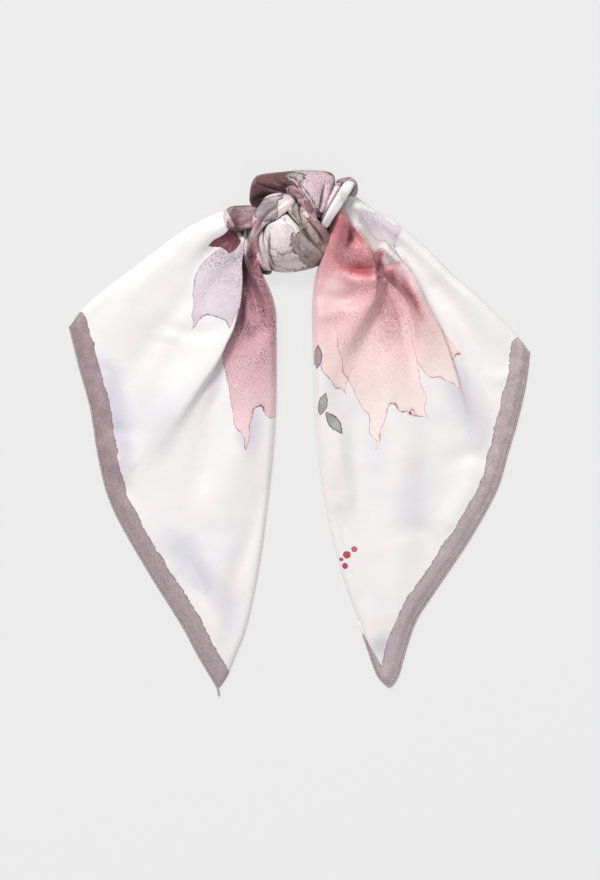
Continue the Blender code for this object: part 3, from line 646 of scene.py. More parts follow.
BORDER_WIDTH = 21.5
WHITE = dye(245, 242, 241)
MAUVE_TONES = ((0.0, dye(190, 170, 182)), (0.4, dye(220, 205, 213)), (0.8, dye(232, 220, 225)),
               (1.0, dye(218, 203, 211)))
PLUM_TONES = ((0.0, dye(92, 44, 54)), (0.2, dye(180, 120, 134)), (0.55, dye(216, 167, 177)),
              (1.0, dye(246, 214, 216)))
OXBLOOD_TONES = ((0.0, dye(62, 22, 30)), (0.5, dye(92, 36, 48)), (1.0, dye(128, 66, 80)))
LAVENDER = dye(212, 212, 229)
LEFT_PETALS = (
    Petal((-60, 240), -109, 124, 22, 3, 9, 0.6, MAUVE_TONES, dye(70, 54, 66)),
    Petal((-50, 236), -88, 232, 15, 3, 11, 0.9, PLUM_TONES, dye(88, 14, 38)),
    # the oxblood petal under the flap is partly the print, partly painted shade in the valley below
    # the flap
    Petal((-52, 240), -139, 52, 20, 2, 7, 0.9, OXBLOOD_TONES, dye(52, 16, 24)),
)
LEFT_GLOWS = (
    # dark plum in the valley east of the main pleat near the knot: partly the print's dark plum,
    # partly painted shade
    Glow((-50, 190), (6, 22), 10, 0.8, 0.5, dye(70, 30, 38)),
    Glow((-60, 178), (8, 22), 4, 0.7, 0.5, dye(92, 42, 52)),
    Glow((-68, 216), (4, 13), 24, 0.9, 0, dye(250, 246, 246)),
    Glow((-54, 112), (14, 24), 40, 0.4, 0.9, dye(140, 102, 114)),
)
# painted shading on the white cloth: shade where the leaf folds or slopes away from the lamp, most of
# it cool, and a painted highlight, the near-white glow on the upper leaf, where it faces the lamp; the
# lavender patches low on the leaf also stand for the print's bluish washes
LEFT_PAINTED_SHADING = (
    Glow((-197, -58), (6, 26), 14, 0.6, 0, dye(172, 166, 176)),
    Glow((-84, 54), (10, 52), -28, 0.6, 0, dye(212, 204, 211)),
    Glow((-50, 8), (22, 44), -8, 0.7, 0, dye(206, 202, 214)),
    Glow((-200, 14), (28, 96), 10, 0.75, 0, dye(208, 206, 220)),
    Glow((-150, 10), (34, 60), 20, 0.35, 0, dye(222, 218, 224)),
    Glow((-112, -140), (26, 76), 38, 0.6, 0, LAVENDER),
    Glow((-78, -190), (20, 50), 14, 0.3, 0, dye(222, 218, 232)),
    Glow((-146, 158), (84, 26), 38, 0.9, 0, dye(254, 250, 248)),
    Glow((-138, 104), (36, 10), -6, 0.6, 0, dye(222, 219, 219)),
)
def dress(piece, silk, node):
    """Gives a piece its silk. It rides on the one body, in place of a node, which is hidden."""
    piece.data.materials.append(silk)
    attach(piece, "root")
    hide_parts(node)


mark_hem_distance(left_front, LEFT.hem)
left_print = printed_silk(
    "left_print", dye(166, 146, 150), LEFT_PAINTED_SHADING, LEFT_PETALS, LEFT_GLOWS
)
dress(left_front, left_print, "left_front")

# --- The left tail's rolled hem ---
# The raw edge of the square is rolled by hand to a thin cord and caught down every few
# millimetres with a slanting stitch. Past the tip the two rolls meet in a short point.
HEM_SIDES = 12
HEM_STEP = 1.6
STITCH_PITCH = 5.2
STITCH_SIZE = 0.45


def mitred_normals(line):
    """Level normals of a line's points, long enough at its corners to keep its sides parallel."""
    way = np.diff(line[:, :2], axis=0)
    normal = np.column_stack([way[:, 1], -way[:, 0]]) / np.linalg.norm(way, axis=1)[:, None]
    before, after = np.vstack([normal[:1], normal]), np.vstack([normal, normal[-1:]])
    middle = before + after
    middle /= np.linalg.norm(middle, axis=1)[:, None]
    middle /= np.maximum((middle * after).sum(1), 0.45)[:, None]
    return np.column_stack([middle, np.zeros(len(line))])


def hem_line(tail, points):
    """The middle of a tail's rolled hem, from its outer corner to past its tip."""
    columns = [0, *range(ROUND_STEPS, points.shape[1] - ROUND_STEPS, 3), -1]
    back = slice(-9, -9 - 9 * tail.hem_wrap, -3)
    edge = np.vstack([points[-1, columns], points[back, -1]])
    inside = np.vstack([points[-8, columns], points[back, -ROUND_STEPS - 6]])
    outward = mitred_normals(edge)
    outward *= np.sign((outward * (edge - inside)).sum(1))[:, None]
    line = edge + outward * (HEM_SETBACK - 0.5 * HEM_DIAMETER)
    line[:, 2] = 0.5 * HEM_DIAMETER
    if tail.hem_tip:
        line = np.vstack([line, line[-1] + tail.hem_tip * np.array([0.1, -1.0, 0.0])])
    line = even_steps(line, step=4.0)
    line[1:-1] = 0.25 * line[:-2] + 0.5 * line[1:-1] + 0.25 * line[2:]
    return even_steps(line, step=HEM_STEP)


def frame_along(line):
    """The way, the side and the upward direction at each point of a line."""
    way = np.gradient(line, axis=0)
    way /= np.linalg.norm(way, axis=1)[:, None]
    side = np.cross(way, (0.0, 0.0, 1.0))
    side /= np.linalg.norm(side, axis=1)[:, None]
    return way, side, np.cross(side, way)


def sewn_tube(name, line, size, sides):
    """A closed tube along a line: a grid whose long sides are joined and whose ends are drawn in."""
    _, side, up = frame_along(line)
    turn = np.linspace(0, 2 * math.pi, sides + 1)
    size = 0.5 * np.broadcast_to(size, len(line))[:, None]
    rings = line[:, None] + (size * np.cos(turn))[..., None] * side[:, None]
    rings = rings + (size * np.sin(turn))[..., None] * up[:, None]
    ends = [np.repeat(line[end][None], sides + 1, axis=0)[None] for end in (0, -1)]
    rings = np.concatenate([ends[0], rings, ends[1]])
    along = np.concatenate([[0], np.cumsum(np.linalg.norm(np.diff(rings[:, 0], axis=0), axis=1))])
    cloth = np.dstack(np.broadcast_arrays(along[:, None], (turn * size.max())[None]))
    return lay_sheet(name, rings, cloth, closed=True)


def rolled_hem(name, line):
    """A hand-rolled edge: a soft cord, a little thinner where each stitch bites."""
    along = np.arange(len(line)) * HEM_STEP
    plump = 1 - 0.06 * np.cos(2 * math.pi * along / STITCH_PITCH) + 0.04 * np.sin(along / 17) - 0.04
    plump *= np.minimum(1, np.minimum(along, along[-1] - along) / 3 + 0.3)
    hem = sewn_tube(name, line, HEM_DIAMETER * plump, HEM_SIDES)
    for point in hem.data.vertices:
        point.co.z = max(point.co.z, 0.05 * MM)
    return hem


def hem_stitches(name, line):
    """One slanting stitch over the roll, copied along the hem and joined to one thread."""
    bow = np.linspace(0.2, 2.6, 7)
    arc = np.column_stack([0.6 * (bow - 1.4), 1.38 * np.cos(bow), 1.3 * np.sin(bow)])
    stitch = sewn_tube(name, arc + MIDDLE, STITCH_SIZE, 5)
    way, side, up = frame_along(line)
    stitches = [stitch]
    for start in np.arange(3.0, len(line) * HEM_STEP - 4, STITCH_PITCH):
        spot = int(start / HEM_STEP)
        turn = np.column_stack([way[spot], side[spot], up[spot], (line[spot] - MIDDLE) * MM])
        copy = stitch.copy()
        copy.data = stitch.data.copy()
        copy.data.transform(Matrix([*turn.tolist(), [0, 0, 0, 1]]))
        bpy.context.scene.collection.objects.link(copy)
        stitches.append(copy)
    bpy.ops.object.select_all(action="DESELECT")
    for copy in stitches[1:]:
        copy.select_set(True)
    bpy.context.view_layer.objects.active = stitches[1]
    bpy.data.objects.remove(stitch)
    bpy.ops.object.join()
    thread = bpy.context.object
    thread.name = thread.data.name = name
    bpy.ops.object.select_all(action="DESELECT")
    return thread


def rolled_silk(name, bare):
    """The border's own cloth as a roll, which is white where it is past the border."""
    silk = Silk(name, dye(176, 157, 162))
    silk.lay(dye(194, 178, 181), silk.noise(5.0, 2.0, 3.0).rise(0.42, 0.66) * 0.6)
    silk.lay(dye(140, 120, 128), silk.noise(2.4, 8.0, 2.0).rise(0.56, 0.74) * 0.4)
    silk.lay(WHITE, silk.x.rise(bare, bare + 6))
    return silk.finish(1.5)


sewing = Silk("hem_thread", dye(176, 158, 163))
sewing.lay(dye(148, 128, 136), sewing.ribs(9.0, 5.0, 1.1) * 0.3 + 0.3)
thread_silk = sewing.finish(0.5)


def sew_hem(tail, points):
    """Rolls and sews a tail's hem."""
    line = hem_line(tail, points)
    hem = rolled_hem(f"{tail.name}_hem_roll", line)
    bare = len(line) - 5 * tail.hem_wrap
    thread = hem_stitches(f"{tail.name}_hem_stitches", line[:bare])
    hem_silk = rolled_silk(f"{tail.name}_hem_silk", (bare + 2) * HEM_STEP)
    for piece, cloth in ((hem, hem_silk), (thread, thread_silk)):
        piece.data.materials.clear()
        piece.data.materials.append(cloth)
        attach(piece, "root")
    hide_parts(f"{tail.name}_hem")
    return [hem, thread]


left_hem = sew_hem(LEFT, left_points)

# --- The left tail's rear leaves ---
# The rest of the folded square under the upper leaf: two flat leaves pressed together, a little
# smaller than the one above, with soft rounded edges where the long sides are turned under.
UNDER_INSET = 3.4
# the edge of the leaves: heights, and how far it is drawn in there
LEAF_LEVELS = ((0.0, 1.2), (0.25, 0.35), (0.75, 0.0), (1.25, 0.3), (1.5, 1.1), (1.75, 0.35),
               (2.3, 0.0), (2.8, 0.35), (3.0, 1.3))
LEAF_LINE = 260


def drawn_in(side, other):
    """One side of a tail moved towards the other, square to itself by the inset at most."""
    way = other - side
    width = np.linalg.norm(way, axis=1)[:, None]
    square = np.abs((mitred_normals(side)[:, :2] * way).sum(1))[:, None] / width
    return side + np.minimum(UNDER_INSET / np.maximum(square, 0.3), 0.32 * width) * way / width


def leaf_loop(tail):
    """The outline of the rear leaves in the plan."""
    steps = np.linspace(0.08, 0.965, 40)
    sides = [tail_plan(tail, steps, np.full_like(steps, side)) for side in (0.0, 1.0)]
    outer, inner = drawn_in(sides[0], sides[1]), drawn_in(sides[1], sides[0])
    shares = np.linspace(0, 1, 60)
    near_hem = 1 - (HEM_SETBACK + 1.45 * HEM_DROP) / tail_length(tail, shares)
    near_hem = tail_plan(tail, near_hem, shares)
    reach = np.interp(shares, (0, 0.04, 0.9, 1), (1, 0, 0, 1))[:, None]
    ends = (1 - shares[:, None]) * outer[-1] + shares[:, None] * inner[-1]
    near_hem = (1 - reach) * near_hem + reach * ends
    loop = np.vstack([outer[:-1], near_hem, inner[::-1][1:], outer[:1]])
    girth = np.linalg.norm(np.diff(loop, axis=0), axis=1).sum()
    return even_steps(loop, step=girth / LEAF_LINE)


def rear_leaves(name, tail):
    """Two leaves as one closed shape: rings up its edge, and rings drawn in over its faces."""
    loop = leaf_loop(tail)
    way = np.roll(loop, -1, axis=0) - np.roll(loop, 1, axis=0)
    way[[0, -1]] = loop[1] - loop[-2]
    way /= np.linalg.norm(way, axis=1)[:, None]
    outward = np.column_stack([way[:, 1], -way[:, 0]])
    if (loop[:-1, 0] * loop[1:, 1] - loop[1:, 0] * loop[:-1, 1]).sum() < 0:
        outward = -outward
    around = np.linspace(0, 2 * math.pi, len(loop))
    rings = []
    for height, inset in LEAF_LEVELS:
        sway = 0.35 * np.sin(9 * around + 2.2 * height) + 0.25 * np.sin(23 * around + height)
        rings.append(np.column_stack([loop - (inset + 0.3 + sway[:, None] * 0.6) * outward,
                                      np.full(len(loop), height)]))
    middle = np.append(loop[:-1].mean(0), 0)
    for share in (0.97, 0.8, 0.45, 0.0):
        for end in (0, -1):
            ring = middle + share * (rings[end] - middle)
            ring[:, 2] = LEAF_LEVELS[end][0]
            rings.insert(0 if end == 0 else len(rings), ring)
    rings = np.array(rings)
    return lay_sheet(name, rings, rings[..., :2], closed=True)


# The print shows through on the rear of the silk, paler than on its face.
rear = Silk("rear_silk", dye(240, 236, 238))
rear.lay(dye(214, 206, 220), rear.noise(60.0, 2.0, 2.0).rise(0.45, 0.7) * 0.6)
rear.lay(dye(226, 200, 206), rear.noise(48.0, 5.0, 2.0).rise(0.55, 0.75) * 0.5)
rear_silk = rear.finish()


def lay_rear(tail, node):
    """Lays the two leaves under a tail, in place of their solid."""
    leaves = rear_leaves(f"{tail.name}_rear_leaves", tail)
    dress(leaves, rear_silk, node)


lay_rear(LEFT, "left_under")

# --- The right tail ---
# The other end of the same square: its upper leaf with a deep outer pleat, a soft ridge and the
# lobe that the knot throws up beside it, then its rolled hem and its rear leaves.
RIGHT = Tail(
    name="right",
    root=((61, 258), (52, 257), (42, 248), (34, 226)),
    outer=((61, 258), (84, 242), (108, 228), (141, 199), (168, 172), (196, 148), (234, 109),
           (249, 90)),
    inner=((34, 226), (31, 208), (25, 192), (18, 170), (15, 142), (15, 110), (16, 75), (18, 19),
           (23, -36), (34, -100), (49, -155), (69, -209), (79, -238), (88, -261), (100, -272)),
    hem=((249, 90), (245, 56), (236, 15), (225, -22), (214, -59), (188, -107),
         (151, -163), (127, -200), (114, -238), (108, -260), (100, -272)),
    crown=(33, 19, 11.5, 8.5, 7.0, 6.0, 5.4),
    inner_lift=(32, 0.15),
    hem_wrap=3,
    hem_tip=0,
    anchor=0.75,
)
RIGHT_FOLDS = (
    # the outer pleat, rolled over the open leaf on its east and over a valley on its west
    Fold(((93, 199), (100, 188), (108, 175), (119, 158), (131, 134), (142, 108), (153, 82),
          (166, 50), (180, 10)), (5, 13, 15, 14, 12, 10, 7, 4, 1), (5, 6, 6, 7, 9),
         (6, 9, 13, 18), (4, 10, 12, 12, 11, 8, 4, 1)),
    Fold(((94, 178), (110, 163), (125, 142), (131, 122), (134, 98), (134, 60)),
         (2, 4, 4, 3, 2, 0.5), (5, 8), (4, 5, 8), (-2, -6, -7, -5, -2, 0)),
    Fold(((92, 170), (104, 156), (113, 138), (119, 114), (122, 84), (122, 50)),
         (-7, -11, -10, -7, -3, -0.5), (6, 7, 10), (7, 9, 14)),
    # small gathers where the pleat starts
    Fold(((90, 200), (95, 192), (100, 184)), (2, 5, 3), 2.5, 2.5),
    Fold(((98, 202), (104, 196), (110, 186)), (-2, -4, -1), 2.5, 2.5),
    Fold(((106, 198), (112, 190), (118, 180)), (1, 3, 2), 2.5, 3),
    # the soft ridge down towards the inner fold
    Fold(((88, 182), (80, 160), (68, 136), (53, 110), (39, 82), (29, 44)),
         (5, 9, 8, 6, 4, 1), (9, 12, 15), (12, 18), (2, 4, 2, 1, 0)),
    Fold(((97, 158), (90, 134), (78, 110), (64, 84)), (-2.5, -4.5, -4, -1.5), (13, 20), (7, 9)),
    # the lobe, the pocket beside it and the hollow under it
    Fold(((45, 241), (44, 226), (40, 210), (34, 192)), (7, 9, 6, 2), (5, 8), (7, 8)),
    Fold(((50, 230), (52, 217), (59, 204)), (-4, -13, -8), (6, 7), (3.2, 3.6)),
    Fold(((44, 237), (56, 217), (67, 199), (73, 184), (76, 172)), (3, 10, 13, 12, 8), (5, 5.5),
         (9, 13), (0, 6, 9, 8, 5)),
    Fold(((91, 180), (78, 178), (64, 178), (50, 183), (38, 192)), (-5, -11, -11, -7, -1),
         (4, 5), (8, 9)),
    Fold(((86, 170), (74, 167), (60, 167), (46, 173)), (1, 3.5, 3.5, 1), 6, 4),
    Fold(((86, 192), (86, 181), (88, 172)), (-5, -13, -8), (4, 4.5), (4, 4.5)),
    Fold(((20, 150), (38, 147), (56, 149), (70, 156)), (-2, -4, -4, -1), (7, 8), (8, 9)),
    Fold(((20, 128), (34, 130), (50, 136)), (1, 2.5, 1), (7, 8), (6, 7)),
    # long swells of the open leaf
    Fold(((64, 246), (78, 226), (92, 208), (104, 196)), (3, 4, 3, 1), (6, 9), (6, 8)),
    Fold(((76, 244), (92, 218), (112, 200), (132, 184)), (-2, -4, -3, -1), (5, 8), (5, 8)),
    Fold(((90, 236), (140, 192), (186, 146), (222, 98)), (3, 5, 6, 2), (14, 16), (12, 16)),
    Fold(((150, 160), (172, 128), (188, 84), (196, 40)), (-2, -3.5, -3.5, -1), (10, 14), (9, 14)),
    Fold(((26, 140), (24, 75), (30, 10), (44, -70)), (3, 4, 4, 3), (10, 16), (8, 12)),
    Fold(((60, 40), (60, -10), (66, -70), (78, -130)), (-1, -3, -3, -1), (14, 16), (12, 14)),
    Fold(((96, 60), (110, -20), (112, -110), (108, -190)), (4, 6, 5, 2), (24, 18), (22, 18)),
    Fold(((188, 56), (204, 12), (202, -14), (190, -44)), (-1, -3, -3, -1), (8, 9), (8, 10)),
    Fold(((214, 40), (196, -30), (166, -90)), (1, 3, 3), (12, 12), (14, 14)),
    Fold(((236, 70), (216, 62), (196, 66)), (1.4, 1.8, 0.5), (7, 9), (7, 9)),
    Fold(((214, -30), (190, -20), (160, -28)), (-1.2, -2.4, -0.6), (8, 10), (8, 10)),
    Fold(((150, -120), (128, -100), (104, -104)), (-1, -2.6, -0.8), (9, 11), (9, 11)),
    Fold(((40, -60), (52, -110), (72, -170)), (-1, -3, -1), (9, 9), (7, 9)),
    Fold(((44, 20), (46, -20), (52, -60)), (1, 3, 1), (9, 12), (9, 10)),
)
ROSE_TONES = ((0.0, dye(198, 96, 106)), (0.3, dye(238, 166, 170)), (0.65, dye(250, 210, 209)),
              (1.0, dye(250, 228, 221)))
PEACH_TONES = ((0.0, dye(204, 112, 118)), (0.3, dye(238, 174, 178)), (0.65, dye(250, 216, 213)),
               (1.0, dye(253, 238, 230)))
LILAC_TONES = ((0.0, dye(212, 196, 205)), (0.6, dye(234, 223, 228)), (1.0, dye(226, 213, 221)))
BEIGE_TONES = ((0.0, dye(214, 206, 199)), (0.6, dye(238, 231, 225)), (1.0, dye(228, 219, 216)))
WHITE_TONES = ((0.0, WHITE), (0.5, WHITE), (1.0, WHITE))
RIGHT_PETALS = (
    Petal((60, 250), -24, 66, 26, 3, 8, 0.3, LILAC_TONES, dye(92, 68, 82)),
    Petal((58, 236), -38, 62, 26, 3, 8, 0.3, BEIGE_TONES, dye(84, 72, 70)),
    Petal((66, 228), -55, 188, 26, 3, 11, 0.6, PEACH_TONES, dye(150, 44, 62)),
    Petal((42, 258), -100, 202, 27, 3, 12, 0.35, ROSE_TONES, dye(150, 44, 62)),
    Petal((50, 258), -78, 248, 18, 3, 12, 0.5, PEACH_TONES, dye(150, 44, 62)),
    # the open ground beyond the outer pleat
    Petal((114, 222), -49, 260, 17, 1, 1, 0, WHITE_TONES, WHITE),
)
RIGHT_GLOWS = (
    Glow((47, 232), (11, 26), 8, 0.95, 0.4, dye(206, 116, 124)),
    # deep red under the lobe: partly the rose print, partly painted shade in the hollow under the lobe
    Glow((66, 183), (25, 11), 2, 0.85, 0.3, dye(176, 62, 72)),
    Glow((72, 243), (14, 9), -42, 0.6, 0.3, dye(220, 204, 214)),
    # painted shadow in the pocket beside the lobe
    Glow((54, 211), (6, 17), -14, 1.0, 0.3, dye(122, 48, 58)),
    # painted shade: a nearly black hole between the lobe and the pleat
    Glow((86, 182), (8, 8), 0, 1.0, 0, dye(70, 22, 28)),
    # painted shade at the top of the valley where the pleat starts
    Glow((106, 180), (9, 15), 18, 0.7, 0.4, dye(128, 56, 68)),
    Glow((122, 164), (8, 50), 21, 0.85, 0.9, dye(182, 96, 108)),
    Glow((98, 130), (19, 44), -4, 0.6, 1.0, dye(206, 154, 164)),
    # painted highlight: a pale pink glow on the lit face at the lower left of the lobe
    Glow((34, 152), (24, 30), 0, 0.85, 0, dye(253, 216, 214)),
    # painted highlight on the upper leaf, where it faces the lamp
    Glow((150, 170), (78, 24), -42, 0.9, 0, dye(254, 251, 249)),
)
# painted shade on the white cloth, most of it cool, where the leaf folds or slopes away from the lamp
RIGHT_PAINTED_SHADING = (
    Glow((84, -20), (24, 80), 6, 0.3, 0, dye(222, 222, 234)),
    Glow((182, 40), (26, 92), 22, 0.6, 0, dye(212, 206, 214)),
    Glow((122, -60), (30, 70), -10, 0.35, 0, dye(222, 218, 226)),
    Glow((90, -224), (20, 22), 0, 0.9, 0, dye(206, 204, 214)),
)
RIGHT_LEAVES = (
    Sprig((20, 84), (14, 5), 84, dye(120, 116, 116)),
    Sprig((26, 34), (13, 5), 76, dye(126, 122, 122)),
    Sprig((38, 14), (15, 6), -54, dye(120, 116, 116)),
)
RIGHT_BERRIES = (
    Sprig((52, -128), (4.2, 3.9), 0, dye(204, 74, 82)),
    Sprig((60, -122), (3.3, 3.0), 0, dye(212, 96, 100)),
    Sprig((50, -140), (3.0, 3.2), 0, dye(196, 66, 76)),
    Sprig((46, -133), (2.2, 2.0), 0, dye(206, 86, 92)),
)
right_points, right_cloth = tail_surface(RIGHT, RIGHT_FOLDS)
right_front = lay_sheet("right_front_silk", right_points, right_cloth)
give_thickness(right_front)
mark_hem_distance(right_front, RIGHT.hem, ((100, -272), (88, -261), (79, -238), (73, -220)))
right_print = printed_silk(
    "right_print", dye(194, 178, 180), RIGHT_PAINTED_SHADING, RIGHT_PETALS, RIGHT_GLOWS, RIGHT_LEAVES,
    RIGHT_BERRIES
)
dress(right_front, right_print, "right_front")
right_hem = sew_hem(RIGHT, right_points)
lay_rear(RIGHT, "right_under")

# --- The knot's hidden cloth ---
# Inside the knot the silk is bunched to two soft cushions, which show only from low down and
# between the stretches: creased ridges run from the table up under the wraps.
KNOT_MIDDLE = (-4, 229, 8)
CORE_STEPS = 190
CORE_LEVELS = 34
Core = namedtuple("Core", "name middle radii turn creases")
# Each crease: its bearing in degrees, its depth in millimetres and its width in degrees.
CORES = (
    Core("knot_core", (-4, 229), (44, 43, 36), 0,
         ((8, 2.6, 7), (27, 1.2, 4), (46, 3.0, 8), (71, 1.6, 5), (93, 2.4, 7), (118, 1.4, 5),
          (139, 3.2, 9), (166, 1.5, 4), (190, 2.8, 8), (214, 1.3, 5), (238, 2.6, 7), (262, 1.6, 5),
          (288, 3.0, 8), (309, 1.2, 4), (336, 2.4, 7))),
    Core("knot_right_core", (42, 254), (25, 12, 39), 57,
         ((15, 1.6, 9), (52, 0.9, 6), (84, 1.5, 9), (121, 0.8, 6), (163, 1.7, 10), (205, 1.0, 7),
          (244, 1.6, 9), (283, 0.9, 6), (322, 1.5, 9))),
)
Blot = namedtuple("Blot", "middle radii turn torn grain tone line")


def bunched_cloth(core):
    """A cushion of creased cloth on a flat base."""
    rise = np.concatenate([[0, 0, 0], np.linspace(0.0, 1.0, CORE_LEVELS) * math.pi / 2])
    drawn = np.concatenate([[0, 0.5, 0.9], np.ones(CORE_LEVELS)])
    round_ = np.linspace(0, 2 * math.pi, CORE_STEPS + 1)
    spread = (np.cos(rise) ** 0.6 * drawn)[:, None]
    spread[3] = 0.975
    depth = np.zeros_like(round_)
    for bearing, deep, width in core.creases:
        off = (np.degrees(round_) - bearing + 180) % 360 - 180
        depth += deep * np.exp(-np.abs(off / width) ** 1.6)
    drift = 1 + 0.05 * np.sin(3 * rise)[:, None] * np.sin(5 * round_ + 1)
    held = np.sin(2 * np.clip(rise, 0.12, None)) ** 0.5
    across = core.radii[0] * spread * np.cos(round_) * drift
    along = core.radii[1] * spread * np.sin(round_) * drift
    far = np.hypot(across, along) + 1e-6
    shrink = 1 - np.minimum(held[:, None] * depth * (drawn > 0.95)[:, None] / far, 0.5)
    turn = math.radians(core.turn)
    x = core.middle[0] + shrink * (across * math.cos(turn) - along * math.sin(turn))
    y = core.middle[1] + shrink * (across * math.sin(turn) + along * math.cos(turn))
    z = np.broadcast_to((core.radii[2] * np.sin(rise))[:, None], x.shape)
    girth = round_ * 0.5 * (core.radii[0] + core.radii[1])
    cloth = np.dstack(np.broadcast_arrays(girth[None], (rise * core.radii[2] * 1.3)[:, None]))
    return lay_sheet(f"{core.name}_silk", np.dstack([x, y, z]), cloth, closed=True)


def paint_blot(silk, blot):
    """A patch of the print as an uneven wash with a torn outline; a few dark ones are painted shade in
    the hollows of the knot.
    """
    wash = silk.noise(*FRAY)
    inside = (1 - away_from(silk, blot)) * min(blot.radii) + torn_edge(silk, blot.torn)
    silk.lay(blot.tone, inside.rise(0, 0.5) * (0.75 + 0.25 * wash))
    speckle(silk, blot.line, inside.rise(0, 3) * wash.rise(0.3, 0.6) * blot.grain * 0.5)
    dry_edge(silk, inside, blot.line, blot.tone, 1.25)


def knot_silk(name, ground, blots):
    """Silk of the knot: a faintly clouded ground with patches of the print, and painted shade where it
    turns under, in its creases and in the hollows between higher cloth."""
    silk = Silk(name, ground)
    clouds = silk.noise(14.0, 4.0, 3.0)
    silk.lay(deeper(ground, 0.72), clouds.rise(0.5, 0.74) * 0.5)
    silk.lay(deeper(ground, 1.18), (1 - clouds.rise(0.28, 0.5)) * 0.5)
    for blot in blots:
        paint_blot(silk, blot)
    speckle(silk, deeper(ground, 0.35), clouds.rise(0.3, 0.7) * 0.6)
    speckle(silk, deeper(ground, 2.4), (1 - clouds.rise(0.3, 0.6)) * 0.5)
    # painted shade on the strip's turned-under side and in its creases
    silk.lay(deeper(ground, 0.16), silk.attribute("turned_shade").rise(0.4, 1.0) * 0.8)
    # painted shade in the hollows between higher cloth
    silk.lay(dye(38, 23, 28), silk.attribute("depth") * 0.9)
    return silk.finish()


core_silk = knot_silk("bunched_silk", dye(214, 200, 206), (
    Blot((60, 30), (40, 22), 20, 8, 0.4, dye(150, 108, 120), dye(90, 50, 62)),
    Blot((180, 26), (46, 20), -12, 8, 0.4, dye(226, 190, 196), dye(150, 96, 106)),
))
bunches = []
for core in CORES:
    bunch = bunched_cloth(core)
    bunches.append(bunch)
    dress(bunch, core_silk, core.name)

# --- The knot's wraps ---
# The tails' cloth, folded to strips of several layers, goes once around itself. Each stretch runs
# from where it comes out of the knot to where it dives back in, and the first lies uppermost.
STRETCH_STEPS = 9
STRETCH_SIDES = 84
ROUND_SAMPLES = 721
CLOSING_ROWS = 5  # over these rows an end is drawn in
# how high on a strip's section the painted shade of its turned-under side begins
SHADED_SIDE = 0.75
